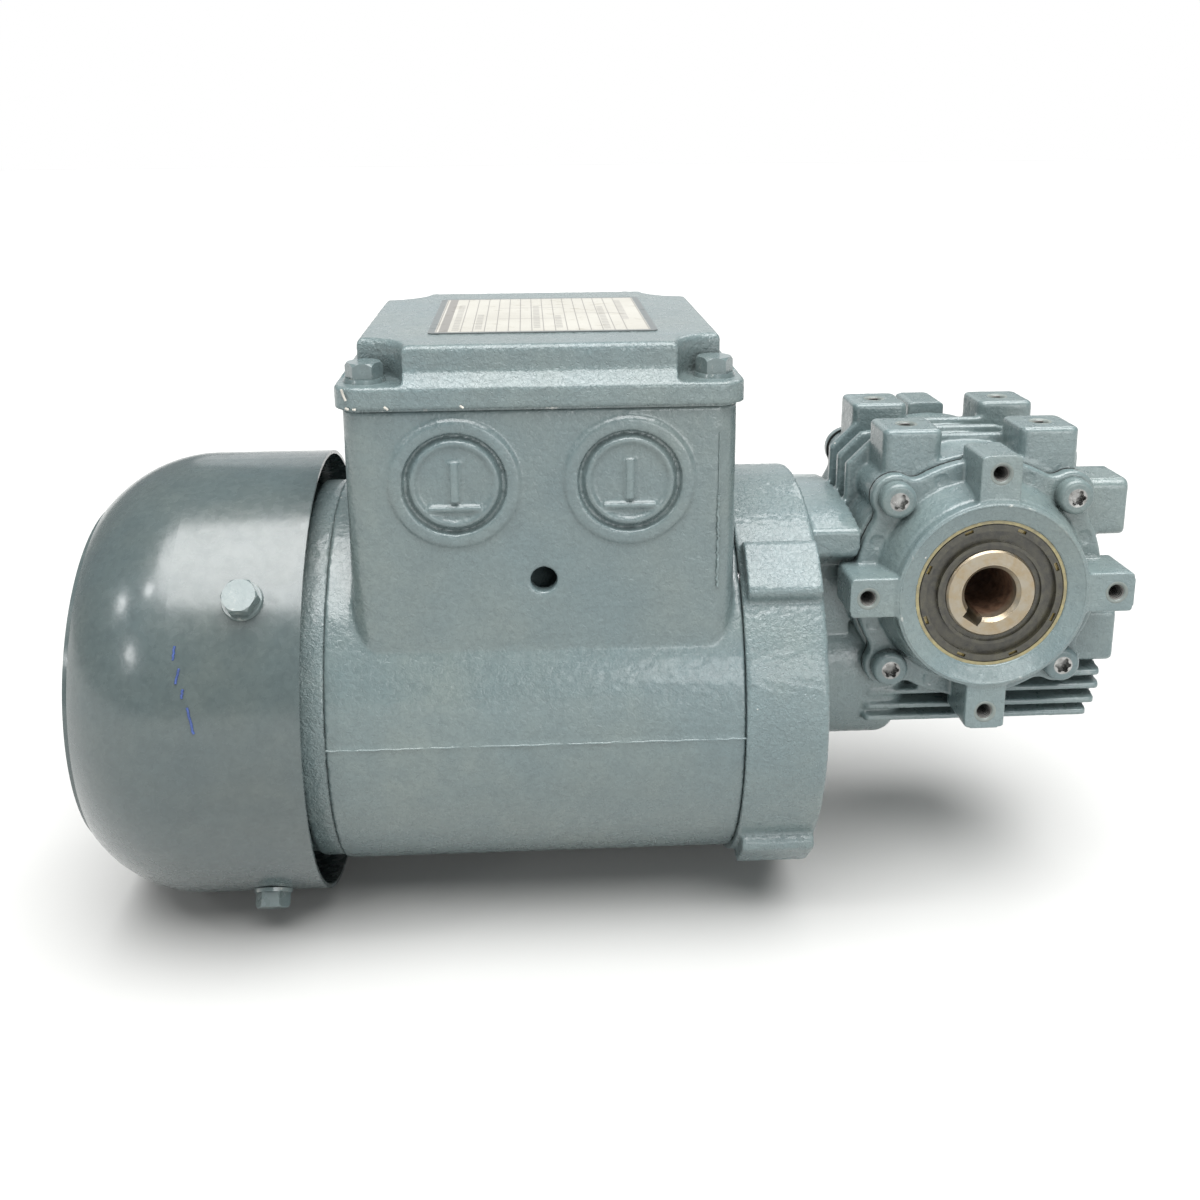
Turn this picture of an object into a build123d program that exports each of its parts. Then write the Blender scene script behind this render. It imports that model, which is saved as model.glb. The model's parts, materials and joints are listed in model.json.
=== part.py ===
from build123d import *
import math
import os

# Worm gear motor: a small three-phase motor whose shaft carries a worm, in one line with a worm
# gearbox that turns a hollow output shaft.
# Frame: millimetres, +Z up.  The origin is the centre of the hollow output shaft's bore.
# +X runs along the motor axis from the fan to the gearbox.  The output axis is Y.

# ---------------------------------------------------------------- driving dimensions
CENTRE_DISTANCE = 31.0          # output axis above the motor axis
FIT = 0.06                      # radial running clearance of a shaft in a seal
BALL_GAP = 0.2                  # clearance of a ball in its groove
SCREW_R = 2.5                   # M5
HEX_R = 4.62                    # corner radius of an 8 mm hexagon

MODULE = 1.25                   # worm gearing
WHEEL_TEETH = 38
WHEEL_WIDTH = 14.0
BACKLASH = 0.16
PRESSURE_ANGLE = math.radians(20)

HOUSING_REAR = -173.5           # motor: positions along X, radii about the motor axis
HOUSING_FRONT = -67.3
HOUSING_R = 54.15
HOUSING_BORE_R = 47.0
STACK_REAR = -150.0
STACK_FRONT = -90.0
STATOR_BORE_R = 25.0
ROTOR_R = 24.6
SLOTS = 24
FLANGE_FRONT = -46.0
FLANGE_R = 55.4
FLANGE_LUG_REACH = 59.0
FLANGE_LUG_WIDTH = 16.0
FLANGE_SCREW_R = 51.0
FLANGE_SCREW_ANGLES = (45, 135, 225, 315)
ADAPTER_SCREWS = ((-19.0, 10.5), (19.0, 10.5), (-16.0, -12.0), (16.0, -12.0))   # Y and Z
COWL_R = 62.0
COWL_SHEET = 1.0
COWL_RIM = -178.1
COWL_SHOULDER = -211.0
COWL_STEP = -238.0
COWL_END = -239.8
COWL_STEP_R = 50.0
COWL_SCREW_X = -192.5
COWL_SCREW_ANGLES = (141.6, 38.4, -51.6, -128.4)   # from +Y towards +Z, about the motor axis

BOX_X = -118.0                  # terminal box and lid
BOX_LENGTH = 96.6
BOX_DEPTH = 97.6
BOX_TOP = 54.6
BOX_WALL = 4.0
BOX_CORNER = 6.5                # rounding of the box's upright edges
BOX_FOOT = -9.0                 # lower edge of the box's sides
BOX_FOOT_CORNER = 11.0
GASKET = 0.8
LID_LENGTH = 99.5
LID_DEPTH = 100.8
LID_SLAB_TOP = 60.9
LID_SLOPE_TOP = 64.0
LID_TOP = 70.3
LID_BLOCK_LENGTH = 90.4
LID_BLOCK_DEPTH = 94.6
LID_SCREW_X = 42.8
LID_SCREW_Y = 41.4
KNOCKOUT_SPREAD = 21.4
KNOCKOUT_Z = 36.4
KNOCKOUT_COLLAR_R = 16.4        # raised collar, groove and disc of a cable knock-out
KNOCKOUT_GROOVE_R = 12.8
KNOCKOUT_DISC_R = 11.8
BOARD_Z = 31.0                  # underside of the terminal board

CASE_HALF = 24.4                # gearbox: half width of the casting between its covers
DRUM_R = 35.0
CAVITY_R = 28.5
PAD_FACE = 41.4                 # mounting pads stand this far from the output axis
PAD_SIZE = 16.0
PAD_X = 18.6
PAD_Y = 16.2
TUNNEL_R = 17.0
NECK_R = 24.0
NECK_END = -22.0                # the neck keeps its full radius up to here
FIN_TIP = 1.5                   # thickness of a side fin at its edge and at its root
FIN_ROOT = 3.6
FIN_START = -28.6
FIN_LEVELS = ((-29.9, 38.5), (-33.9, 38.5), (-38.2, 37.5), (-41.8, 35.5))   # Z of each fin, right end
COVER_GASKET = 0.3
COVER_FACE = 28.0
COVER_R = 34.0
COVER_SCREW = 23.9              # screw places are at plus and minus this, in X and Z
HUB_R = 25.9
HUB_FACE = 39.7
HUB_RECESS = 1.5                # depth of the cone between the hub's rim and the seal
HUB_RIM = 1.3                   # width of that rim
LUG_FACE = 39.2
LUG_WIDTH = 11.0
LUG_REACH = 38.0
LUG_HOLE_RADIUS = 33.2          # where the flange's threaded holes lie
TAP_R = 2.1                     # core of an M5 thread
MOUTH_DEPTH = 0.4               # shallow countersink of a threaded hole in a mounting face
MOUTH_TAPER = 66
OUTPUT_BORE_R = 7.0
SHAFT_HALF = 38.0
SEAL_OUTER_R = 20.25
SEAL_SHAFT_R = 12.0
BEARING_OUTER_R = 21.0
BEARING_INNER_R = 12.5
BEARING_OUT = 31.0              # outer and inner ends of an output bearing, from the middle
BEARING_IN = 22.0
WHEEL_SEAT_R = 14.0
KEY_WIDTH = 5.0
KEYWAY_DEPTH = 2.3
KEYWAY_ANGLE = 235              # from +X towards +Z
WHEEL_COLLAR = (7.0, 10.0, 16.0)        # start and end along Y, radius
WHEEL_CLIP_Y = -8.2

REAR_BEARING = (-190.0, 10.0, 6.0, 16.0)      # start, width, bore radius, outer radius
FRONT_BEARING = (-66.0, 11.0, 7.5, 17.5)
TAIL_BEARING = (24.0, 8.0, 5.0, 13.0)
CAGE_HALF_THICKNESS = 0.45
FAN_CLIP_X = -218.4

# ---------------------------------------------------------------- derived sizes, planes and axes
THREAD_PITCH = math.pi * MODULE
WHEEL_PITCH_R = MODULE * WHEEL_TEETH / 2
WORM_PITCH_R = CENTRE_DISTANCE - WHEEL_PITCH_R
WORM_TIP_R = WORM_PITCH_R + MODULE
WORM_ROOT_R = WORM_PITCH_R - 1.2 * MODULE
LEAD_ANGLE = math.atan(THREAD_PITCH / (2 * math.pi * WORM_PITCH_R))
BARREL_TOP = HOUSING_R - CENTRE_DISTANCE
BOARD_SEAT = BARREL_TOP + 1.0
LID_SCREW_POINTS = [(BOX_X + sx * LID_SCREW_X, sy * LID_SCREW_Y) for sx in (-1, 1) for sy in (-1, 1)]
STUD_PLACES = [(BOX_X + dx, dy) for dx in (-15, 0, 15) for dy in (-9, 9)]
BOARD_FEET = [(BOX_X + dx, 0) for dx in (-27, 27)]
PAD_CENTRES = [(sx * PAD_X, sy * PAD_Y) for sx in (-1, 1) for sy in (-1, 1)]
COVER_SCREW_POINTS = [(sx * COVER_SCREW, sz * COVER_SCREW) for sx in (-1, 1) for sz in (-1, 1)]
COVER_FOOT = CASE_HALF + COVER_GASKET
ADAPTER_POINTS = [(y, z + CENTRE_DISTANCE) for y, z in ADAPTER_SCREWS]
MOTOR_AXIS = Axis((0, 0, -CENTRE_DISTANCE), (1, 0, 0))
MOTOR_ORIGIN = Plane(origin=(0, 0, -CENTRE_DISTANCE), x_dir=(0, 1, 0), z_dir=(1, 0, 0))
SIDES = (("front", -1), ("rear", 1))

os.makedirs("parts", exist_ok=True)


def motor_plane(x):
    """Plane across the motor axis at x, facing +X, with its own x along +Y and its y up."""
    return MOTOR_ORIGIN.offset(x)


def side_plane(side, distance):
    """Plane at Y = side * distance, facing outwards, with its y up."""
    return Plane(origin=(0, side * distance, 0), x_dir=(-side, 0, 0), z_dir=(0, side, 0))


def ring(plane, outer_r, inner_r=0.0):
    """Flat ring on a plane, or a disc where no inner radius is given."""
    with BuildSketch(plane) as face:
        Circle(outer_r)
        if inner_r > 0:
            Circle(inner_r, mode=Mode.SUBTRACT)
    return face.sketch


def radial_seat(x, angle, radius):
    """Plane facing outwards from the motor axis at an angle counted from +Y towards +Z."""
    across = math.cos(math.radians(angle))
    upwards = math.sin(math.radians(angle))
    place = (x, radius * across, radius * upwards - CENTRE_DISTANCE)
    return Plane(origin=place, x_dir=(1, 0, 0), z_dir=(0, across, upwards))


def save(piece, name):
    """Labels a finished piece and writes it as one STEP file."""
    piece.part.label = name
    export_step(piece.part, f"parts/{name}.step")


# ---------------------------------------------------------------- fasteners
def hex_flange_screws(seats, shank):
    """Hexagon flange screws, each standing on the plane under its head."""
    collar = 1.0
    head = 4.8
    with BuildPart() as screws:
        for seat in seats:
            with BuildSketch(seat):
                Circle(5.2)
            extrude(amount=collar, taper=15)
            with BuildSketch(seat.offset(collar / 2)):
                RegularPolygon(radius=HEX_R, side_count=6)
            extrude(amount=head - collar / 2)
            with BuildSketch(seat.offset(head - 0.9)):
                Circle(7)
                Circle(4.7, mode=Mode.SUBTRACT)
            extrude(amount=1.2, taper=-35, mode=Mode.SUBTRACT)
            with BuildSketch(seat):
                Circle(SCREW_R)
            extrude(amount=-shank)
    return screws


def lobed_pan_screws(seats, shank):
    """Pan-head screws with a six-lobed socket, each standing on the plane under its head."""
    head_r = 4.85
    head = 3.7
    with BuildPart() as screws:
        for seat in seats:
            with BuildSketch(seat):
                Circle(head_r)
            extrude(amount=head)
            rim = screws.edges(Select.LAST).filter_by(GeomType.CIRCLE)
            fillet(rim.sort_by(Axis(seat.origin, seat.z_dir))[-1], radius=1.3)
            with BuildSketch(seat.offset(head - 1.9)):
                Circle(1.75)
                with PolarLocations(1.72, 6):
                    Circle(0.56)
            extrude(amount=3, mode=Mode.SUBTRACT)
            with BuildSketch(seat):
                Circle(SCREW_R)
            extrude(amount=-shank)
    return screws


def socket_screws(seats, shank):
    """Cap screws with a hexagon socket, each standing on the plane under its head."""
    with BuildPart() as screws:
        for seat in seats:
            with BuildSketch(seat):
                Circle(4.25)
            extrude(amount=4.6)
            with BuildSketch(seat.offset(2.1)):
                RegularPolygon(radius=2.31, side_count=6)
            extrude(amount=4, mode=Mode.SUBTRACT)
            with BuildSketch(seat):
                Circle(SCREW_R)
            extrude(amount=-shank)
    return screws


# ---------------------------------------------------------------- rolling bearings
def ball_bearing(name, middle, bore_r, outer_r, width, ball_r, ball_count):
    """Deep-groove bearing: outer ring, inner ring, and the balls with their cage."""
    pitch_r = (bore_r + outer_r) / 2
    land = 0.5 * ball_r
    groove_r = ball_r + BALL_GAP
    with BuildPart(middle) as outer_ring:
        Cylinder(outer_r, width)
        Cylinder(pitch_r + land, width, mode=Mode.SUBTRACT)
        Torus(pitch_r, groove_r, mode=Mode.SUBTRACT)
    with BuildPart(middle) as inner_ring:
        Cylinder(pitch_r - land, width)
        Cylinder(bore_r, width, mode=Mode.SUBTRACT)
        Torus(pitch_r, groove_r, mode=Mode.SUBTRACT)
    with BuildPart(middle) as ball_set:
        Cylinder(pitch_r + CAGE_HALF_THICKNESS, 2.5 * ball_r)
        Cylinder(pitch_r - CAGE_HALF_THICKNESS, 2.5 * ball_r, mode=Mode.SUBTRACT)
        with PolarLocations(pitch_r, ball_count):
            Cylinder(ball_r + 0.1, 3, rotation=(0, 90, 0), mode=Mode.SUBTRACT)
        with PolarLocations(pitch_r, ball_count):
            Sphere(ball_r)
    save(outer_ring, f"{name}_outer_ring")
    save(inner_ring, f"{name}_inner_ring")
    save(ball_set, f"{name}_ball_set")


# ---------------------------------------------------------------- motor: stator side
with BuildPart() as stator_housing:
    # terminal box, cast in one piece with the barrel
    with BuildSketch(Plane.XY.offset(-CENTRE_DISTANCE)):
        with Locations((BOX_X, 0)):
            RectangleRounded(BOX_LENGTH, BOX_DEPTH, BOX_CORNER)
    extrude(amount=BOX_TOP + CENTRE_DISTANCE)
    with BuildSketch(Plane.XZ):
        with Locations((BOX_X, (BOX_TOP + 20 + BOX_FOOT) / 2)):
            RectangleRounded(BOX_LENGTH, BOX_TOP + 20 - BOX_FOOT, BOX_FOOT_CORNER)
    extrude(amount=BOX_DEPTH, both=True, mode=Mode.INTERSECT)
    with BuildSketch(Plane.XY.offset(BOX_FOOT + 8)):
        with Locations((BOX_X, 0)):
            RectangleRounded(BOX_LENGTH - 2 * BOX_WALL, BOX_DEPTH - 2 * BOX_WALL, 3)
    extrude(amount=BOX_TOP - BOX_FOOT, mode=Mode.SUBTRACT)
    with BuildSketch(Plane.XY.offset(BOX_FOOT + 8)):
        with Locations(*LID_SCREW_POINTS):
            Circle(5.4)
    extrude(amount=BOX_TOP - BOX_FOOT - 8)
    # barrel
    extrude(ring(motor_plane(HOUSING_REAR), HOUSING_R), amount=HOUSING_FRONT - HOUSING_REAR)
    for side in (-1, 1):
        with BuildSketch(Plane.XZ.offset(-side * (HOUSING_R - 0.3))):
            with Locations(((HOUSING_REAR + HOUSING_FRONT) / 2, -CENTRE_DISTANCE)):
                Rectangle(HOUSING_FRONT - HOUSING_REAR, 0.7)
        extrude(amount=-side * 0.55)
    extrude(ring(motor_plane(HOUSING_REAR), HOUSING_BORE_R), amount=110, mode=Mode.SUBTRACT)
    with BuildSketch(motor_plane(HOUSING_FRONT)):
        with PolarLocations(FLANGE_SCREW_R, 4, start_angle=45):
            Circle(SCREW_R)
    extrude(amount=-17, mode=Mode.SUBTRACT)
    # way for the winding leads, from the front winding overhang up into the box
    with BuildSketch(Plane.XY.offset(5)):
        with Locations((-81, 0)):
            Circle(8)
    extrude(amount=25, mode=Mode.SUBTRACT)
    # cable knock-outs on both long sides of the box: collar, groove, and a rimmed disc with a rib
    for side in (-1, 1):
        face = side_plane(side, BOX_DEPTH / 2)
        marks = [(-side * (BOX_X + dx), KNOCKOUT_Z) for dx in (-KNOCKOUT_SPREAD, KNOCKOUT_SPREAD)]
        rib = [(x, z + 0.5) for x, z in marks]
        ledge = [(x, z - 6.2) for x, z in marks]
        for mark in marks:
            with BuildSketch(face):
                with Locations(mark):
                    Circle(KNOCKOUT_COLLAR_R)
            extrude(amount=0.9, taper=40)
        with BuildSketch(face.offset(-1.0)):
            with Locations(*marks):
                Circle(KNOCKOUT_GROOVE_R)
        extrude(amount=2.5, mode=Mode.SUBTRACT)
        for mark in marks:
            with BuildSketch(face.offset(-1.0)):
                with Locations(mark):
                    Circle(KNOCKOUT_DISC_R)
            extrude(amount=1.9, taper=30)
            with BuildSketch(face.offset(0.9)):
                with Locations(mark):
                    Circle(KNOCKOUT_DISC_R - 1.9)
            extrude(amount=-0.9, taper=45, mode=Mode.SUBTRACT)
        with BuildSketch(face):
            with Locations(*rib):
                Rectangle(2.4, 9.5)
            with Locations(*ledge):
                Rectangle(12.5, 1.2)
        extrude(amount=0.8)
    # drain hole at the front, tapped holes for the lid screws and the terminal board
    with BuildSketch(Plane.XY.offset(BARREL_TOP - 3)):
        with Locations(*BOARD_FEET):
            Circle(5.5)
    extrude(amount=BOARD_SEAT - BARREL_TOP + 3)
    with BuildSketch(Plane.XY.offset(BOARD_SEAT)):
        with Locations(*BOARD_FEET):
            Circle(2)
    extrude(amount=-6, mode=Mode.SUBTRACT)
    with BuildSketch(side_plane(-1, BOX_DEPTH / 2)):
        with Locations((BOX_X, 11.1)):
            Circle(3.3)
    extrude(amount=-10, mode=Mode.SUBTRACT)
    with BuildSketch(Plane.XY.offset(BOX_TOP - 16)):
        with Locations(*LID_SCREW_POINTS):
            Circle(SCREW_R)
    extrude(amount=16, mode=Mode.SUBTRACT)
save(stator_housing, "stator_housing")

with BuildPart() as stator_core:
    extrude(ring(motor_plane(STACK_REAR), HOUSING_BORE_R, STATOR_BORE_R), amount=STACK_FRONT - STACK_REAR)
    with BuildSketch(motor_plane(STACK_REAR)):
        with PolarLocations(32.5, SLOTS):
            SlotOverall(12, 4.4)
        with PolarLocations(26.0, SLOTS):
            Rectangle(4.0, 1.6)
    extrude(amount=STACK_FRONT - STACK_REAR, mode=Mode.SUBTRACT)
save(stator_core, "stator_core")

with BuildPart() as stator_windings:
    overhang = 13.0
    for start in (STACK_REAR - overhang, STACK_FRONT):
        with BuildSketch(Plane.XZ):
            with Locations((start + overhang / 2, 36.0 - CENTRE_DISTANCE)):
                RectangleRounded(overhang, 16, 4)
        revolve(axis=MOTOR_AXIS)
    with BuildSketch(motor_plane(STACK_REAR)):
        with PolarLocations(32.5, SLOTS):
            SlotOverall(11.6, 4.0)
    extrude(amount=STACK_FRONT - STACK_REAR)
save(stator_windings, "stator_windings")

with BuildPart() as rear_end_shield:
    extrude(ring(motor_plane(-180.5), 53.3), amount=HOUSING_REAR + 180.5)
    extrude(ring(motor_plane(HOUSING_REAR), HOUSING_BORE_R - 0.05), amount=4)
    extrude(ring(motor_plane(HOUSING_REAR - 2.5), 43), amount=12, mode=Mode.SUBTRACT)
    extrude(ring(motor_plane(-193), 21), amount=193 - 176)
    for angle in COWL_SCREW_ANGLES:
        with BuildSketch(radial_seat(COWL_SCREW_X, angle, 40)):
            Rectangle(12, 12)
        extrude(amount=COWL_R - COWL_SHEET - 40 - 0.35)
        with BuildSketch(radial_seat((COWL_SCREW_X - 180) / 2, angle, 40)):
            Rectangle(COWL_SCREW_X + 180 + 25, 12)
        extrude(amount=12)
    extrude(ring(motor_plane(REAR_BEARING[0] - 2.2), REAR_BEARING[3]), amount=12.2, mode=Mode.SUBTRACT)
    extrude(ring(motor_plane(-194), 12.0), amount=30, mode=Mode.SUBTRACT)
    for angle in COWL_SCREW_ANGLES:
        with BuildSketch(radial_seat(COWL_SCREW_X, angle, COWL_R - 14)):
            Circle(SCREW_R)
        extrude(amount=15, mode=Mode.SUBTRACT)
save(rear_end_shield, "rear_end_shield")

with BuildPart() as preload_washer:
    with BuildSketch(Plane.XZ):
        with BuildLine():
            Polyline(
                (-192.2, 12.6 - CENTRE_DISTANCE),
                (-191.8, 12.6 - CENTRE_DISTANCE),
                (-190.0, 15.7 - CENTRE_DISTANCE),
                (-190.4, 15.7 - CENTRE_DISTANCE),
                close=True,
            )
        make_face()
    revolve(axis=MOTOR_AXIS)
save(preload_washer, "preload_washer")

with BuildPart() as fan_cowl:
    # drawn sheet: straight skirt, round shoulder, stepped end disc
    shoulder_r = 36.4
    with BuildSketch(Plane.XZ):
        with BuildLine(Plane.XZ):
            top = -CENTRE_DISTANCE
            skirt = Line((COWL_RIM, top + COWL_R), (COWL_SHOULDER, top + COWL_R))
            bend = RadiusArc(skirt @ 1, (COWL_STEP, top + COWL_STEP_R), -shoulder_r)
            step = Polyline(bend @ 1, (COWL_STEP, top + 48.4), (COWL_END, top + 48.4 - 0.4))
            Polyline(
                step @ 1,
                (COWL_END, top),
                (COWL_END + COWL_SHEET, top),
                (COWL_END + COWL_SHEET, top + 47.0),
                (COWL_STEP + COWL_SHEET, top + 47.4),
            )
            inner_bend = RadiusArc(
                (COWL_SHOULDER, top + COWL_R - COWL_SHEET),
                (COWL_STEP + COWL_SHEET, top + COWL_STEP_R - 1.2),
                -(shoulder_r - COWL_SHEET),
            )
            Line((COWL_STEP + COWL_SHEET, top + 47.4), inner_bend @ 1)
            Polyline(
                inner_bend @ 0,
                (COWL_RIM, top + COWL_R - COWL_SHEET),
                (COWL_RIM, top + COWL_R),
            )
        make_face()
    revolve(axis=MOTOR_AXIS)
    # air inlet holes in the end disc
    with BuildSketch(motor_plane(COWL_END - 1)):
        for circle_r, holes in ((13, 8), (20.5, 14), (28, 20), (35.5, 26), (42.5, 32)):
            with PolarLocations(circle_r, holes):
                Circle(2.6)
    extrude(amount=4, mode=Mode.SUBTRACT)
    for angle in COWL_SCREW_ANGLES:
        with BuildSketch(radial_seat(COWL_SCREW_X, angle, COWL_R - 4)):
            Circle(SCREW_R)
        extrude(amount=8, mode=Mode.SUBTRACT)
save(fan_cowl, "fan_cowl")

cowl_screws = hex_flange_screws(
    [radial_seat(COWL_SCREW_X, angle, COWL_R + 0.02) for angle in COWL_SCREW_ANGLES], 10
)
save(cowl_screws, "cowl_screws")

# ---------------------------------------------------------------- terminal box fittings
with BuildPart() as terminal_box_gasket:
    with BuildSketch(Plane.XY.offset(BOX_TOP)):
        with Locations((BOX_X, 0)):
            RectangleRounded(BOX_LENGTH - 0.6, BOX_DEPTH - 0.6, 4.7)
            RectangleRounded(BOX_LENGTH - 12, BOX_DEPTH - 12, 3, mode=Mode.SUBTRACT)
        with Locations(*LID_SCREW_POINTS):
            Circle(5.4)
        with Locations(*LID_SCREW_POINTS):
            Circle(SCREW_R, mode=Mode.SUBTRACT)
    extrude(amount=GASKET)
save(terminal_box_gasket, "terminal_box_gasket")

with BuildPart() as terminal_box_lid:
    slab_foot = BOX_TOP + GASKET
    with BuildSketch(Plane.XY.offset(slab_foot)):
        with Locations((BOX_X, 0)):
            RectangleRounded(LID_LENGTH, LID_DEPTH, 6)
    extrude(amount=LID_SLAB_TOP - slab_foot)
    chamfer(terminal_box_lid.faces().sort_by(Axis.Z)[-1].edges(), length=0.5)
    slope = LID_SLOPE_TOP - LID_SLAB_TOP
    with BuildSketch(Plane.XY.offset(LID_SLAB_TOP)):
        with Locations((BOX_X, 0)):
            RectangleRounded(LID_LENGTH - 1.2, LID_DEPTH - 1.2, 6)
    extrude(amount=slope, taper=38)
    with BuildSketch(Plane.XY.offset(LID_SLAB_TOP)):
        with Locations((BOX_X, 0)):
            RectangleRounded(LID_BLOCK_LENGTH, LID_BLOCK_DEPTH, 2)
    extrude(amount=LID_TOP - LID_SLAB_TOP)
    # hollow corners that leave room for the screw heads and a socket wrench
    pocket_r = 12.5
    corner_x = LID_BLOCK_LENGTH / 2 + 0.4
    corner_y = LID_BLOCK_DEPTH / 2 + 0.3
    with BuildSketch(Plane.XY.offset(LID_SLAB_TOP)):
        with Locations((BOX_X, 0)):
            with GridLocations(2 * corner_x, 2 * corner_y, 2, 2):
                Circle(pocket_r)
    extrude(amount=20, mode=Mode.SUBTRACT)
    crown = terminal_box_lid.faces().sort_by(Axis.Z)[-1]
    fillet(crown.edges(), radius=1.6)
    with BuildSketch(Plane.XY.offset(slab_foot)):
        with Locations((BOX_X, 0)):
            RectangleRounded(64, 84, 4)
            RectangleRounded(84, 64, 4)
    extrude(amount=LID_TOP - slab_foot - 4.5, mode=Mode.SUBTRACT)
    with BuildSketch(Plane.XY.offset(slab_foot)):
        with Locations(*LID_SCREW_POINTS):
            Circle(2.75)
    extrude(amount=20, mode=Mode.SUBTRACT)
save(terminal_box_lid, "terminal_box_lid")

lid_screws = hex_flange_screws(
    [Plane.XY.offset(LID_SLAB_TOP).move(Location((x, y, 0))) for x, y in LID_SCREW_POINTS], 17
)
save(lid_screws, "lid_screws")

with BuildPart() as nameplate:
    with BuildSketch(Plane.XY.offset(LID_TOP)):
        with Locations((BOX_X + 1, 0)):
            RectangleRounded(58, 62, 1.5)
    extrude(amount=0.3)
save(nameplate, "nameplate")

with BuildPart() as terminal_board:
    with BuildSketch(Plane.XY.offset(BOARD_Z)):
        with Locations((BOX_X, 0)):
            RectangleRounded(66, 34, 3)
    extrude(amount=5)
    for dx in (-7.5, 7.5):
        with BuildSketch(Plane.XY.offset(BOARD_Z + 5)):
            with Locations((BOX_X + dx, 0)):
                Rectangle(1.6, 34)
        extrude(amount=5)
    with BuildSketch(Plane.XY.offset(BOARD_SEAT)):
        with Locations(*BOARD_FEET):
            Circle(4.5)
    extrude(amount=BOARD_Z - BOARD_SEAT)
    with BuildSketch(Plane.XY.offset(BOARD_SEAT)):
        with Locations(*BOARD_FEET, *STUD_PLACES):
            Circle(2)
    extrude(amount=16, mode=Mode.SUBTRACT)
save(terminal_board, "terminal_board")

with BuildPart() as terminal_studs:
    with BuildSketch(Plane.XY.offset(BOARD_Z - 2)):
        with Locations(*STUD_PLACES):
            RegularPolygon(radius=3.6, side_count=6)
    extrude(amount=2)
    with BuildSketch(Plane.XY.offset(BOARD_Z)):
        with Locations(*STUD_PLACES):
            Circle(2)
    extrude(amount=17)
save(terminal_studs, "terminal_studs")

with BuildPart() as terminal_links:
    for x, y in STUD_PLACES[::2]:
        with BuildSketch(Plane.XY.offset(BOARD_Z + 5)):
            with Locations((x, 0)):
                SlotCenterToCenter(18, 8, rotation=90)
            with Locations((x, -9), (x, 9)):
                Circle(2, mode=Mode.SUBTRACT)
        extrude(amount=1)
save(terminal_links, "terminal_links")

with BuildPart() as terminal_nuts:
    with BuildSketch(Plane.XY.offset(BOARD_Z + 6)):
        with Locations(*STUD_PLACES):
            RegularPolygon(radius=4.04, side_count=6)
        with Locations(*STUD_PLACES):
            Circle(2, mode=Mode.SUBTRACT)
    extrude(amount=3.2)
save(terminal_nuts, "terminal_nuts")

with BuildPart() as board_screws:
    with BuildSketch(Plane.XY.offset(BOARD_Z + 5)):
        with Locations(*BOARD_FEET):
            Circle(3.5)
    extrude(amount=2.6)
    with BuildSketch(Plane.XY.offset(BOARD_Z + 6.2)):
        with Locations(*BOARD_FEET):
            Rectangle(4.4, 1)
            Rectangle(1, 4.4)
    extrude(amount=3, mode=Mode.SUBTRACT)
    with BuildSketch(Plane.XY.offset(BOARD_Z + 5)):
        with Locations(*BOARD_FEET):
            Circle(2)
    extrude(amount=BOARD_SEAT - BOARD_Z - 10.5)
save(board_screws, "board_screws")

# ---------------------------------------------------------------- drive-end flange
with BuildPart() as drive_end_flange:
    extrude(ring(motor_plane(HOUSING_FRONT), FLANGE_R), amount=FLANGE_FRONT - HOUSING_FRONT)
    fillet(drive_end_flange.faces().sort_by(Axis.X)[-1].edges(), radius=1.2)
    with BuildSketch(motor_plane(HOUSING_FRONT + 1.2)):
        with PolarLocations(FLANGE_LUG_REACH - 8, 4, start_angle=45):
            RectangleRounded(16, FLANGE_LUG_WIDTH, 2.5)
    extrude(amount=FLANGE_FRONT - HOUSING_FRONT - 2.0)
    extrude(ring(motor_plane(HOUSING_FRONT - 4), HOUSING_BORE_R - 0.05, 42), amount=4)
    extrude(ring(motor_plane(FRONT_BEARING[0] - 0.5), 22), amount=3)
    # relief between the winding overhang and the bearing boss
    extrude(ring(motor_plane(HOUSING_FRONT - 1), 41, 23), amount=9, mode=Mode.SUBTRACT)
    extrude(ring(motor_plane(HOUSING_FRONT - 1), FRONT_BEARING[3]), amount=13.3, mode=Mode.SUBTRACT)
    extrude(ring(motor_plane(-56), 9.5), amount=12, mode=Mode.SUBTRACT)
    extrude(ring(motor_plane(-53), 15), amount=8, mode=Mode.SUBTRACT)
    with BuildSketch(motor_plane(HOUSING_FRONT - 1)):
        with PolarLocations(FLANGE_SCREW_R, 4, start_angle=45):
            Circle(2.6)
    extrude(amount=30, mode=Mode.SUBTRACT)
    with BuildSketch(motor_plane(FLANGE_FRONT - 5.6)):
        with PolarLocations(FLANGE_SCREW_R, 4, start_angle=45):
            Circle(4.6)
    extrude(amount=8, mode=Mode.SUBTRACT)
    with BuildSketch(motor_plane(HOUSING_FRONT - 1)):
        with Locations(*ADAPTER_POINTS):
            Circle(2.6)
    extrude(amount=30, mode=Mode.SUBTRACT)
    with BuildSketch(motor_plane(HOUSING_FRONT - 5)):
        with Locations(*ADAPTER_POINTS):
            Circle(4.6)
    extrude(amount=18, mode=Mode.SUBTRACT)
save(drive_end_flange, "drive_end_flange")

flange_screws = socket_screws(
    [
        Plane(
            origin=(
                FLANGE_FRONT - 5.6,
                FLANGE_SCREW_R * math.cos(math.radians(angle)),
                FLANGE_SCREW_R * math.sin(math.radians(angle)) - CENTRE_DISTANCE,
            ),
            x_dir=(0, 1, 0),
            z_dir=(1, 0, 0),
        )
        for angle in FLANGE_SCREW_ANGLES
    ],
    30,
)
save(flange_screws, "flange_screws")

adapter_screws = socket_screws(
    [
        Plane(origin=(HOUSING_FRONT + 13, y, z), x_dir=(0, 1, 0), z_dir=(-1, 0, 0))
        for y, z in ADAPTER_SCREWS
    ],
    18,
)
save(adapter_screws, "adapter_screws")

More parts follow.
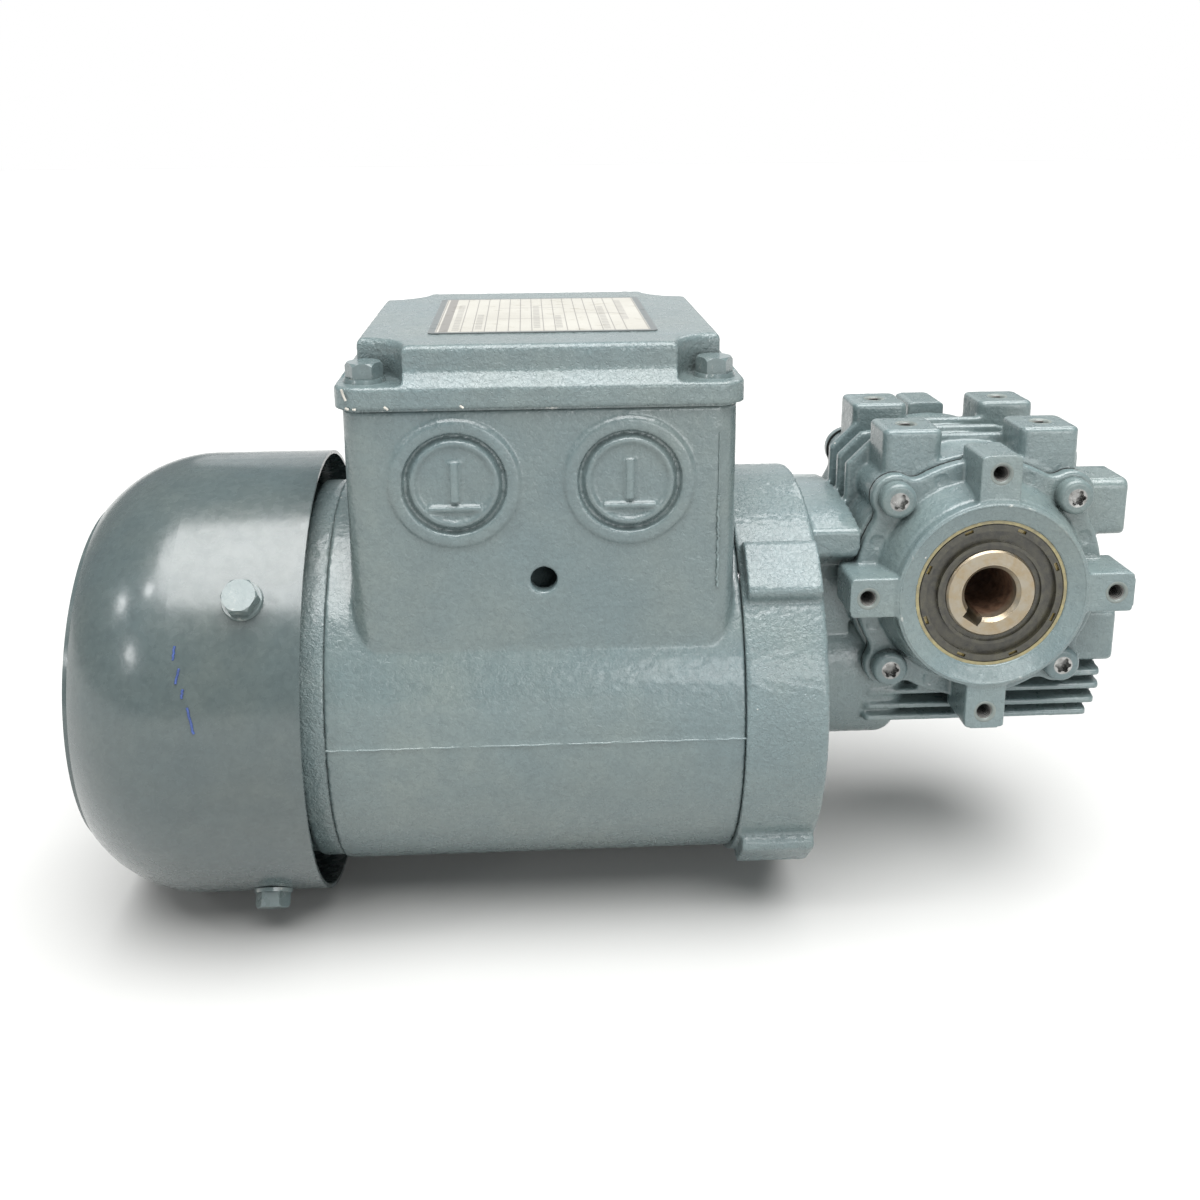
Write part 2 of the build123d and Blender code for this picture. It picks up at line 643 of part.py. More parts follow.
with BuildPart() as shaft_seal:
    extrude(ring(motor_plane(-53), 15, 13.4), amount=6.8)
    extrude(ring(motor_plane(-53), 15, FRONT_BEARING[2] + 1.6), amount=1.2)
    extrude(ring(motor_plane(-51.9), 9.6, FRONT_BEARING[2] + FIT), amount=4)
save(shaft_seal, "shaft_seal")

# ---------------------------------------------------------------- motor: rotating side
THREAD_TURNS = 6
THREAD_FOOT_R = WORM_ROOT_R - 0.3

with BuildPart() as worm_thread:
    # right-handed thread of one start, wound round its own Z axis, its flanks straight in section
    half_pitch_thickness = THREAD_PITCH / 4 - BACKLASH / 4
    flank_slope = math.tan(PRESSURE_ANGLE)
    half_foot = half_pitch_thickness + (WORM_PITCH_R - THREAD_FOOT_R) * flank_slope
    half_tip = half_pitch_thickness - (WORM_TIP_R - WORM_PITCH_R) * flank_slope
    with BuildLine() as path:
        Helix(THREAD_PITCH, THREAD_TURNS * THREAD_PITCH, THREAD_FOOT_R)
    with BuildSketch(Plane.XZ):
        with BuildLine():
            Polyline(
                (THREAD_FOOT_R, -half_foot),
                (WORM_TIP_R, -half_tip),
                (WORM_TIP_R, half_tip),
                (THREAD_FOOT_R, half_foot),
                close=True,
            )
        make_face()
    sweep(path=path.line, is_frenet=True)

# the thread's start lies over the motor axis, a whole number of turns before X = 0
thread_place = Plane(
    origin=(-THREAD_TURNS / 2 * THREAD_PITCH, 0, -CENTRE_DISTANCE), x_dir=(0, 0, 1), z_dir=(1, 0, 0)
)

with BuildPart() as worm_shaft:
    # diameters from the fan seat to the worm and its tail bearing
    for start, end, radius in (
        (-222.0, -201.0, 5.5),
        (-201.0, -180.0, 6.0),
        (-180.0, -152.0, 8.5),
        (-152.0, -66.0, 9.5),
        (-66.0, -17.0, FRONT_BEARING[2]),
        (-17.0, 24.0, WORM_ROOT_R),
        (24.0, 32.6, TAIL_BEARING[2]),
    ):
        extrude(ring(motor_plane(start), radius), amount=end - start)
    chamfer(worm_shaft.faces().sort_by(Axis.X)[0].edges(), length=0.8)
    extrude(ring(motor_plane(FAN_CLIP_X), 7, 5.0), amount=1.2, mode=Mode.SUBTRACT)
    add(worm_thread.part.moved(thread_place.location))
save(worm_shaft, "worm_shaft")

with BuildPart() as rotor_core:
    extrude(ring(motor_plane(STACK_REAR), ROTOR_R, 9.5), amount=STACK_FRONT - STACK_REAR)
    with BuildSketch(motor_plane(STACK_REAR)):
        with PolarLocations(20.6, 18):
            SlotOverall(6.4, 2.8)
    extrude(amount=STACK_FRONT - STACK_REAR, mode=Mode.SUBTRACT)
save(rotor_core, "rotor_core")

with BuildPart() as rotor_cage:
    with BuildSketch(motor_plane(STACK_REAR)):
        with PolarLocations(20.6, 18):
            SlotOverall(6.4, 2.8)
    extrude(amount=STACK_FRONT - STACK_REAR)
    for start in (STACK_REAR - 7, STACK_FRONT):
        extrude(ring(motor_plane(start), 24.0, 14.5), amount=7)
    for start in (STACK_REAR - 15, STACK_FRONT + 7):
        with BuildSketch(motor_plane(start)):
            with PolarLocations(20.5, 9):
                Rectangle(5.5, 1.6)
        extrude(amount=8)
save(rotor_cage, "rotor_cage")

with BuildPart() as fan:
    extrude(ring(motor_plane(-217), 9.5), amount=14)
    extrude(ring(motor_plane(-203), 50), amount=1.8)
    with BuildSketch(motor_plane(-218)):
        with PolarLocations(30, 8):
            Rectangle(42, 1.8)
    extrude(amount=15.5)
    extrude(ring(motor_plane(-219), 5.5), amount=22, mode=Mode.SUBTRACT)
save(fan, "fan")

with BuildPart() as fan_clip:
    extrude(ring(motor_plane(FAN_CLIP_X), 8.2, 5.0), amount=1.2)
    with BuildSketch(motor_plane(FAN_CLIP_X)):
        with Locations((0, -7)):
            Rectangle(4, 8)
    extrude(amount=1.2, mode=Mode.SUBTRACT)
save(fan_clip, "fan_clip")

# ---------------------------------------------------------------- worm wheel and output shaft
def involute(angle):
    """Involute function of a pressure angle."""
    return math.tan(angle) - angle


def wheel_outline(plane, turn):
    """Tooth outline of the worm wheel on a plane, turned by an angle in radians."""
    base_r = WHEEL_PITCH_R * math.cos(PRESSURE_ANGLE)
    root_r = WHEEL_PITCH_R - 1.2 * MODULE
    tip_r = WHEEL_PITCH_R + MODULE
    half_at_pitch = math.pi / (2 * WHEEL_TEETH) - BACKLASH / (2 * WHEEL_PITCH_R)

    def half_angle(radius):
        at_radius = math.acos(min(1.0, base_r / radius))
        return half_at_pitch + involute(PRESSURE_ANGLE) - involute(at_radius)

    def place(radius, angle):
        return (radius * math.sin(angle), radius * math.cos(angle))

    flank = (root_r, (root_r + tip_r) / 2, tip_r)
    with BuildSketch(plane) as outline:
        with BuildLine():
            for tooth in range(WHEEL_TEETH):
                middle = turn + 2 * math.pi * (tooth + 0.5) / WHEEL_TEETH
                next_middle = middle + 2 * math.pi / WHEEL_TEETH
                rising = [place(r, middle - half_angle(r)) for r in flank]
                falling = [place(r, middle + half_angle(r)) for r in flank]
                ThreePointArc(*rising)
                Line(rising[2], falling[2])
                ThreePointArc(*reversed(falling))
                Line(falling[0], place(root_r, next_middle - half_angle(root_r)))
        make_face()
    return outline.sketch


with BuildPart() as worm_wheel:
    # tooth gaps turn with the worm's lead; a gap is centred on the worm at Y = 0
    half_width = WHEEL_WIDTH / 2
    half_twist = half_width * math.tan(LEAD_ANGLE) / WHEEL_PITCH_R
    low = wheel_outline(Plane.XZ.offset(half_width), -half_twist)
    high = wheel_outline(Plane.XZ.offset(-half_width), half_twist)
    loft([low, high], ruled=True)
    for side in (-1, 1):
        face = Plane.XZ.offset(-side * half_width)
        extrude(ring(face, 20.5, 17.2), amount=side * 2.5, mode=Mode.SUBTRACT)
    extrude(ring(Plane.XZ, WHEEL_SEAT_R), amount=20, both=True, mode=Mode.SUBTRACT)
    with BuildSketch(Plane.XZ):
        with Locations((0, WHEEL_SEAT_R)):
            Rectangle(KEY_WIDTH, 2 * 1.8)
    extrude(amount=20, both=True, mode=Mode.SUBTRACT)
save(worm_wheel, "worm_wheel")

with BuildPart() as hollow_output_shaft:
    with BuildSketch(Plane.XY):
        with BuildLine():
            Polyline(
                (OUTPUT_BORE_R, -SHAFT_HALF + 1.0),
                (OUTPUT_BORE_R + 1.0, -SHAFT_HALF),
                (SEAL_SHAFT_R - 0.5, -SHAFT_HALF),
                (SEAL_SHAFT_R, -SHAFT_HALF + 0.5),
                (SEAL_SHAFT_R, -BEARING_OUT),
                (BEARING_INNER_R, -BEARING_OUT),
                (BEARING_INNER_R, -BEARING_IN),
                (WHEEL_SEAT_R, -BEARING_IN),
                (WHEEL_SEAT_R, WHEEL_COLLAR[0]),
                (WHEEL_COLLAR[2], WHEEL_COLLAR[0]),
                (WHEEL_COLLAR[2], WHEEL_COLLAR[1]),
                (WHEEL_SEAT_R, WHEEL_COLLAR[1]),
                (WHEEL_SEAT_R, BEARING_IN),
                (BEARING_INNER_R, BEARING_IN),
                (BEARING_INNER_R, BEARING_OUT),
                (SEAL_SHAFT_R, BEARING_OUT),
                (SEAL_SHAFT_R, SHAFT_HALF - 0.5),
                (SEAL_SHAFT_R - 0.5, SHAFT_HALF),
                (OUTPUT_BORE_R + 1.0, SHAFT_HALF),
                (OUTPUT_BORE_R, SHAFT_HALF - 1.0),
                close=True,
            )
        make_face()
    revolve(axis=Axis.Y)
    # keyway right through the bore, low on the left as seen from the front
    with BuildSketch(Plane.XZ):
        with PolarLocations(OUTPUT_BORE_R, 1, start_angle=KEYWAY_ANGLE):
            Rectangle(2 * KEYWAY_DEPTH, KEY_WIDTH)
    extrude(amount=SHAFT_HALF, both=True, mode=Mode.SUBTRACT)
    # seat of the wheel's key, at the top
    with BuildSketch(Plane.XZ):
        with Locations((0, WHEEL_SEAT_R)):
            Rectangle(KEY_WIDTH, 2 * 2.4)
    extrude(amount=WHEEL_WIDTH / 2, both=True, mode=Mode.SUBTRACT)
    extrude(ring(Plane.XZ.offset(-WHEEL_CLIP_Y), 20, 13.3), amount=-1.2, mode=Mode.SUBTRACT)
save(hollow_output_shaft, "hollow_output_shaft")

with BuildPart() as wheel_key:
    with BuildSketch(Plane.XZ):
        with Locations((0, WHEEL_SEAT_R - 0.4)):
            Rectangle(KEY_WIDTH, 4.0)
    extrude(amount=WHEEL_WIDTH / 2, both=True)
save(wheel_key, "wheel_key")

with BuildPart() as wheel_clip:
    extrude(ring(Plane.XZ.offset(-WHEEL_CLIP_Y), 16.2, 13.3), amount=-1.2)
    with BuildSketch(Plane.XZ.offset(-WHEEL_CLIP_Y)):
        with Locations((0, -15)):
            Rectangle(5, 8)
    extrude(amount=-1.2, mode=Mode.SUBTRACT)
save(wheel_clip, "wheel_clip")

# ---------------------------------------------------------------- gear housing
with BuildPart() as gear_housing:
    # drum round the wheel, worm tunnel, and the block that joins them
    with BuildSketch(Plane.XZ):
        Circle(DRUM_R)
        with Locations(*COVER_SCREW_POINTS):
            Circle(6)
    extrude(amount=CASE_HALF, both=True)
    extrude(ring(motor_plane(-30), TUNNEL_R), amount=39.2 + 30)
    with BuildSketch(Plane.YZ.offset(-29)):
        with Locations((0, -27)):
            Rectangle(2 * TUNNEL_R, 31)
    extrude(amount=39.2 + 29)
    # side fins, thick at the root and rounded in plan
    for level, right_end in FIN_LEVELS:
        with BuildPart(mode=Mode.PRIVATE) as fin:
            with BuildSketch(Plane.YZ.offset(FIN_START)):
                for side in (-1, 1):
                    with BuildLine():
                        Polyline(
                            (0, level - FIN_ROOT / 2),
                            (side * TUNNEL_R, level - FIN_ROOT / 2),
                            (side * CASE_HALF, level - FIN_TIP / 2),
                            (side * CASE_HALF, level + FIN_TIP / 2),
                            (side * TUNNEL_R, level + FIN_ROOT / 2),
                            (0, level + FIN_ROOT / 2),
                            close=True,
                        )
                    make_face()
            extrude(amount=right_end - FIN_START)
            tips = fin.edges().filter_by(Axis.Z).filter_by(lambda edge: abs(edge.center().Y) > CASE_HALF - 0.1)
            fillet(tips, radius=2)
        add(fin.part)
    # mounting pads on the top and on the end face
    for x, y in PAD_CENTRES:
        with BuildSketch(Plane.XY.offset(20)):
            with Locations((x, y)):
                RectangleRounded(PAD_SIZE, PAD_SIZE, 2.2)
        extrude(amount=PAD_FACE - 20)
        with BuildSketch(Plane.YZ.offset(20)):
            with Locations((y, x)):
                RectangleRounded(PAD_SIZE, PAD_SIZE, 2.2)
        extrude(amount=PAD_FACE - 20)
    pad_faces = [
        gear_housing.faces().group_by(Axis.Z)[-1],
        gear_housing.faces().group_by(Axis.X)[-1],
    ]
    for group in pad_faces:
        fillet(group.edges(), radius=1.2)
    # three cooling fins over the drum, cut off at 45 degrees towards the motor
    for y in (-9.5, 0, 9.5):
        with BuildSketch(Plane.XZ.offset(-y)):
            with BuildLine():
                Polyline(
                    (-33, 10),
                    (-33, 28.8),
                    (-26.5, 35.3),
                    (-12, 36.8),
                    (12, 36.8),
                    (26.5, 33),
                    (26.5, 10),
                    close=True,
                )
            make_face()
        extrude(amount=1.4, both=True)
    # neck towards the motor: shelf, web and worm housing
    with BuildSketch(Plane.YZ.offset(FLANGE_FRONT)):
        with BuildLine():
            shelf = ThreePointArc((-28, 15.2), (0, 18.6), (28, 15.2))
            Polyline(shelf @ 1, (28, 8), (20, 3), (20, -25), (-20, -25), (-20, 3), (-28, 8), shelf @ 0)
        make_face()
    extrude(amount=13)
    fillet(gear_housing.edges().filter_by(Axis.X).group_by(Axis.Y)[0], radius=1.5)
    with BuildPart(mode=Mode.PRIVATE) as neck:
        extrude(ring(motor_plane(FLANGE_FRONT), NECK_R), amount=NECK_END + 5 - FLANGE_FRONT)
        fillet(neck.faces().sort_by(Axis.X)[-1].edges(), radius=5)
    add(neck.part)
    # room for the cover's plate where the shelf passes it
    for _, side in SIDES:
        extrude(ring(side_plane(side, CASE_HALF), COVER_R + 0.4), amount=8, mode=Mode.SUBTRACT)
    # inside: wheel space, worm space, bearing seats
    extrude(ring(Plane.XZ, CAVITY_R), amount=CASE_HALF + 1, both=True, mode=Mode.SUBTRACT)
    extrude(ring(motor_plane(FLANGE_FRONT - 1), 12.5), amount=71, mode=Mode.SUBTRACT)
    extrude(ring(motor_plane(TAIL_BEARING[0]), TAIL_BEARING[3]), amount=30, mode=Mode.SUBTRACT)
    extrude(ring(motor_plane(TAIL_BEARING[0] + TAIL_BEARING[1]), 13.7), amount=1.1, mode=Mode.SUBTRACT)
    # threaded holes: pads, motor side, covers
    with BuildSketch(motor_plane(FLANGE_FRONT)):
        with Locations(*ADAPTER_POINTS):
            Circle(SCREW_R)
    extrude(amount=11, mode=Mode.SUBTRACT)
    for _, side in SIDES:
        with BuildSketch(side_plane(side, CASE_HALF)):
            with Locations(*COVER_SCREW_POINTS):
                Circle(SCREW_R)
        extrude(amount=-11, mode=Mode.SUBTRACT)
    with BuildSketch(Plane.XY.offset(PAD_FACE)):
        with Locations(*PAD_CENTRES):
            Circle(TAP_R)
    extrude(amount=-11, mode=Mode.SUBTRACT)
    with BuildSketch(Plane.YZ.offset(PAD_FACE)):
        with Locations(*[(y, x) for x, y in PAD_CENTRES]):
            Circle(TAP_R)
    extrude(amount=-11, mode=Mode.SUBTRACT)
    for x, y in PAD_CENTRES:
        for face, place in ((Plane.XY, (x, y)), (Plane.YZ, (y, x))):
            with BuildSketch(face.offset(PAD_FACE - MOUTH_DEPTH)):
                with Locations(place):
                    Circle(TAP_R)
            extrude(amount=MOUTH_DEPTH + 0.02, taper=-MOUTH_TAPER, mode=Mode.SUBTRACT)
save(gear_housing, "gear_housing")

# ---------------------------------------------------------------- covers, seals and bearings
def cover_plan(plane):
    """Outline of an output cover: a disc with a rounded tab for each screw."""
    with BuildSketch(plane) as plan:
        Circle(COVER_R)
        with Locations(*COVER_SCREW_POINTS):
            Circle(6.4)
        fillet(plan.vertices(), radius=4)
    return plan.sketch


def lug_plan(plane):
    """Outline of the hub with its four lugs, rounded where they join."""
    with BuildSketch(plane) as plan:
        with PolarLocations((LUG_REACH + 20) / 2, 4):
            RectangleRounded(LUG_REACH - 20, LUG_WIDTH, 1.6)
        Circle(HUB_R)
        joints = [v for v in plan.vertices() if abs(math.hypot(v.X, v.Z) - HUB_R) < 0.01]
        fillet(joints, radius=2.5)
    return plan.sketch


def output_cover(side):
    """Cover with bearing seat, seal seat and a four-lug mounting face."""
    foot = side_plane(side, COVER_FOOT)
    plate = side_plane(side, COVER_FACE)
    with BuildPart() as cover:
        extrude(cover_plan(foot), amount=COVER_FACE - COVER_FOOT)
        plate_face = cover.faces().sort_by(Axis.Y)[-1 if side > 0 else 0]
        fillet(plate_face.edges(), radius=0.8)
        extrude(ring(plate, 28.8), amount=8.4, taper=16)
        extrude(lug_plan(foot), amount=LUG_FACE - COVER_FOOT)
        extrude(ring(plate, HUB_R), amount=HUB_FACE - COVER_FACE)
        hub_face = cover.faces().sort_by(Axis.Y)[-1 if side > 0 else 0]
        fillet(hub_face.edges(), radius=0.45)
        # spigot in the housing, bearing seat, seal seat, cone that leads to the seal
        extrude(ring(foot, CAVITY_R - 0.05), amount=-3.2)
        extrude(ring(side_plane(side, 20), BEARING_OUTER_R), amount=BEARING_OUT - 20, mode=Mode.SUBTRACT)
        extrude(ring(side_plane(side, 20), SEAL_OUTER_R), amount=25, mode=Mode.SUBTRACT)
        cone_r = HUB_R - HUB_RIM
        cone_taper = math.degrees(math.atan((cone_r - SEAL_OUTER_R - 0.4) / HUB_RECESS))
        extrude(ring(side_plane(side, HUB_FACE), cone_r), amount=-HUB_RECESS, taper=cone_taper, mode=Mode.SUBTRACT)
        with BuildSketch(plate):
            with Locations(*COVER_SCREW_POINTS):
                Circle(2.6)
        extrude(amount=-8, mode=Mode.SUBTRACT)
        with BuildSketch(side_plane(side, LUG_FACE)):
            with PolarLocations(LUG_HOLE_RADIUS, 4):
                Circle(TAP_R)
        extrude(amount=-12, mode=Mode.SUBTRACT)
        for angle in (0, 90, 180, 270):
            with BuildSketch(side_plane(side, LUG_FACE - MOUTH_DEPTH)):
                with PolarLocations(LUG_HOLE_RADIUS, 1, start_angle=angle):
                    Circle(TAP_R)
            extrude(amount=MOUTH_DEPTH + 0.02, taper=-MOUTH_TAPER, mode=Mode.SUBTRACT)
        # ejector marks of the casting mould
        with BuildSketch(side_plane(side, COVER_FACE - 0.25)):
            with PolarLocations(30.6, 8, start_angle=22.5):
                Circle(2)
        extrude(amount=1, mode=Mode.SUBTRACT)
    return cover


def cover_gasket(side):
    """Thin gasket under an output cover."""
    with BuildPart() as gasket:
        extrude(cover_plan(side_plane(side, CASE_HALF)), amount=COVER_GASKET)
        extrude(ring(side_plane(side, CASE_HALF - 1), CAVITY_R), amount=3, mode=Mode.SUBTRACT)
        with BuildSketch(side_plane(side, CASE_HALF)):
            with Locations(*COVER_SCREW_POINTS):
                Circle(2.6)
        extrude(amount=1, mode=Mode.SUBTRACT)
    return gasket


def output_seal(side):
    """Radial shaft seal with a grooved face and small windows near its rim."""
    seal_face = HUB_FACE - HUB_RECESS - 0.4
    seat = side_plane(side, BEARING_OUT)
    with BuildPart() as seal:
        extrude(ring(seat, SEAL_OUTER_R, SEAL_SHAFT_R + FIT), amount=seal_face - BEARING_OUT)
        extrude(ring(side_plane(side, seal_face), 17.4, 14.3), amount=-1.4, mode=Mode.SUBTRACT)
        extrude(ring(side_plane(side, seal_face), 13.4, 11), amount=-0.7, mode=Mode.SUBTRACT)
        with BuildSketch(side_plane(side, seal_face)):
            with PolarLocations(18.4, 8, start_angle=22.5):
                Rectangle(0.9, 2.4)
        extrude(amount=-1, mode=Mode.SUBTRACT)
        extrude(ring(side_plane(side, seal_face), 19.4, 19.1), amount=-0.4, mode=Mode.SUBTRACT)
    return seal


for side_name, side in SIDES:
    save(output_cover(side), f"{side_name}_cover")
    save(cover_gasket(side), f"{side_name}_cover_gasket")
    save(output_seal(side), f"{side_name}_output_seal")
    screw_seats = [
        Plane(origin=(x, side * COVER_FACE, z), x_dir=(1, 0, 0), z_dir=(0, side, 0))
        for x, z in COVER_SCREW_POINTS
    ]
    save(lobed_pan_screws(screw_seats, 13), f"{side_name}_cover_screws")
    ball_bearing(
        f"output_{side_name}_bearing",
        Plane(origin=(0, side * (BEARING_IN + BEARING_OUT) / 2, 0), x_dir=(1, 0, 0), z_dir=(0, 1, 0)),
        BEARING_INNER_R,
        BEARING_OUTER_R,
        BEARING_OUT - BEARING_IN,
        ball_r=2.4,
        ball_count=13,
    )

for name, (start, width, bore_r, outer_r), ball_r, ball_count in (
    ("motor_rear_bearing", REAR_BEARING, 3.0, 7),
    ("motor_front_bearing", FRONT_BEARING, 3.0, 8),
    ("worm_tail_bearing", TAIL_BEARING, 2.4, 7),
):
    ball_bearing(name, motor_plane(start + width / 2), bore_r, outer_r, width, ball_r, ball_count)

with BuildPart() as tail_bearing_clip:
    clip_start = TAIL_BEARING[0] + TAIL_BEARING[1]
    extrude(ring(motor_plane(clip_start), 13.7, 11.2), amount=1.1)
    with BuildSketch(motor_plane(clip_start)):
        with Locations((0, -12)):
            Rectangle(6, 8)
    extrude(amount=1.1, mode=Mode.SUBTRACT)
save(tail_bearing_clip, "tail_bearing_clip")

with BuildPart() as worm_end_cap:
    extrude(ring(motor_plane(34.2), TAIL_BEARING[3]), amount=4)
    extrude(ring(motor_plane(34.2), TAIL_BEARING[3] - 1.5), amount=2.6, mode=Mode.SUBTRACT)
    fillet(worm_end_cap.faces().sort_by(Axis.X)[-1].edges(), radius=0.8)
save(worm_end_cap, "worm_end_cap")
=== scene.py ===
import json
import math
import bpy
import bmesh
from mathutils import Matrix, Vector, noise

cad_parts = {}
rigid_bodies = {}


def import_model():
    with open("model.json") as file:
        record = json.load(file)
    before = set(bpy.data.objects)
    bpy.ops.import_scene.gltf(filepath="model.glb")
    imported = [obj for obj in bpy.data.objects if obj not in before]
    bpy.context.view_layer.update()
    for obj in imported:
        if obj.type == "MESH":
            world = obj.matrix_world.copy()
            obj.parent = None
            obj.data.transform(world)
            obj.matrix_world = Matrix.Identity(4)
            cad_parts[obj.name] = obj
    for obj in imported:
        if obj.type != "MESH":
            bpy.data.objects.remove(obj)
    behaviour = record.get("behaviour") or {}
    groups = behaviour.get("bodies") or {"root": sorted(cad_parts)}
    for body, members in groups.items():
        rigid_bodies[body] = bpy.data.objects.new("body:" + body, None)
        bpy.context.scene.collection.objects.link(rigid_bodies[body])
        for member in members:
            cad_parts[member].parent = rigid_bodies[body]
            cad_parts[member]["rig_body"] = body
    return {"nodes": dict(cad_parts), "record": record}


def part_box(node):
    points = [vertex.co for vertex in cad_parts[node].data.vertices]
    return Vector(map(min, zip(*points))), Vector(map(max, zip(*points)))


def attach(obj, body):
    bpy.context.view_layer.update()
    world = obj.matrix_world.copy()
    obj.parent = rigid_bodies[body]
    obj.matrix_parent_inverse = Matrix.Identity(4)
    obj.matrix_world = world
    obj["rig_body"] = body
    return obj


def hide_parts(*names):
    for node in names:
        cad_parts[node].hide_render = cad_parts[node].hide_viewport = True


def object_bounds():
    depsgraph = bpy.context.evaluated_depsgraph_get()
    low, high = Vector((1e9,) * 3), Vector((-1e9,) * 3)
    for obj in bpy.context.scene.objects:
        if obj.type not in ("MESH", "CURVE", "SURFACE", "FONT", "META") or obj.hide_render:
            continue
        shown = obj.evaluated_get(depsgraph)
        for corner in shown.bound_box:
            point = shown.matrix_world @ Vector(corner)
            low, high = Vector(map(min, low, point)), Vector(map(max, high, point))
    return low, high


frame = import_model()
nodes = frame["nodes"]
cad_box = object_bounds()
scene = bpy.context.scene

MM = 0.001
MOTOR_Z = -31 * MM                 # height of the motor axis; the output axis is at 0
MIDDLE = Vector((-100 * MM, 0, MOTOR_Z))
COVER_SCREW = 23.9 * MM            # how far the cover screws lie from the output axis, in X and in Z


# ---------------------------------------------------------------- camera, floor and light
def add_camera():
    """The camera of a hand-held picture: in front, a little to the left and looking down."""
    yaw, pitch, roll = (math.radians(a) for a in (2.828, 13.833, -0.433))
    forward = Vector((math.sin(yaw) * math.cos(pitch), math.cos(yaw) * math.cos(pitch), -math.sin(pitch)))
    level = Vector((math.cos(yaw), -math.sin(yaw), 0))
    upright = level.cross(forward)
    right = math.cos(roll) * level + math.sin(roll) * upright
    up = -math.sin(roll) * level + math.cos(roll) * upright
    data = bpy.data.cameras.new("camera")
    data.lens = 37.82
    data.sensor_width = 36
    data.shift_x = 0.0081
    data.shift_y = -0.140
    camera = bpy.data.objects.new("camera", data)
    camera.matrix_world = Matrix((
        (right.x, up.x, -forward.x, -120.84 * MM),
        (right.y, up.y, -forward.y, -344.85 * MM),
        (right.z, up.z, -forward.z, 121.77 * MM),
        (0, 0, 0, 1)))
    scene.collection.objects.link(camera)
    scene.camera = camera


def add_area_light(name, direction, distance, size, power, colour=(1, 1, 1)):
    """A round lamp that lies in the given direction from the middle of the motor and points at it.
    The camera doesn't see it."""
    aim = Vector(direction).normalized()
    data = bpy.data.lights.new(name, "AREA")
    data.shape = "DISK"
    data.size = size
    data.energy = power
    data.color = colour
    light = bpy.data.objects.new(name, data)
    light.location = MIDDLE + aim * distance
    light.rotation_mode = "QUATERNION"
    light.rotation_quaternion = (-aim).to_track_quat("-Z", "Y")
    light.visible_camera = False
    scene.collection.objects.link(light)


def add_sky_panel():
    """One very large soft source almost overhead, a little to the front and right."""
    data = bpy.data.lights.new("sky_panel", "SUN")
    data.energy = 6.0
    data.angle = math.radians(60)
    light = bpy.data.objects.new("sky_panel", data)
    light.rotation_mode = "QUATERNION"
    light.rotation_quaternion = Vector((-0.07, 0.24, -1)).to_track_quat("-Z", "Y")
    scene.collection.objects.link(light)


def add_surround():
    """A dim even surround for the light, seen as white paper by the camera."""
    world = bpy.data.worlds.new("surround")
    scene.world = world
    world.use_nodes = True
    tree = world.node_tree
    lit = tree.nodes["Background"]
    lit.inputs["Color"].default_value = (0.94, 0.98, 1.0, 1)
    lit.inputs["Strength"].default_value = 0.24
    paper = tree.nodes.new("ShaderNodeBackground")
    paper.inputs["Color"].default_value = (1, 1, 1, 1)
    path = tree.nodes.new("ShaderNodeLightPath")
    choose = tree.nodes.new("ShaderNodeMixShader")
    tree.links.new(path.outputs["Is Camera Ray"], choose.inputs[0])
    tree.links.new(lit.outputs[0], choose.inputs[1])
    tree.links.new(paper.outputs[0], choose.inputs[2])
    tree.links.new(choose.outputs[0], tree.nodes["World Output"].inputs["Surface"])


def add_stage():
    """A large pale floor under the lowest screw, the soft overhead light and a few small lamps."""
    lowest = cad_box[0].z
    bpy.ops.mesh.primitive_plane_add(size=12, location=(MIDDLE.x, 0, lowest - 0.0004))
    floor = bpy.context.object
    floor.name = "floor"
    paper = bpy.data.materials.new("paper")
    paper.use_nodes = True
    shader = paper.node_tree.nodes["Principled BSDF"]
    shader.inputs["Base Color"].default_value = (0.52, 0.52, 0.51, 1)
    shader.inputs["Roughness"].default_value = 0.9
    shader.inputs["Specular IOR Level"].default_value = 0.2
    floor.data.materials.append(paper)
    add_surround()
    add_sky_panel()
    for name, direction in (("lamp_high", (-0.54, -0.36, 0.76)), ("lamp_left", (-0.80, -0.25, 0.55)),
                            ("lamp_low", (-0.70, -0.61, 0.37))):
        add_area_light(name, direction, 1.6, 0.19, 1.5)
    add_area_light("front_window", (0.2, -0.95, 0.22), 1.5, 0.42, 2.6, (0.97, 0.99, 1.0))
    add_area_light("rim_window", (0.45, 0.75, 0.75), 1.5, 0.5, 3.0)
    add_area_light("low_window", (0.45, -0.88, 0.09), 1.5, 0.5, 3.2)
    add_area_light("back_window", (-0.03, 0.95, 0.29), 1.6, 1.1, 1.8)
    scene.view_settings.view_transform = "Standard"


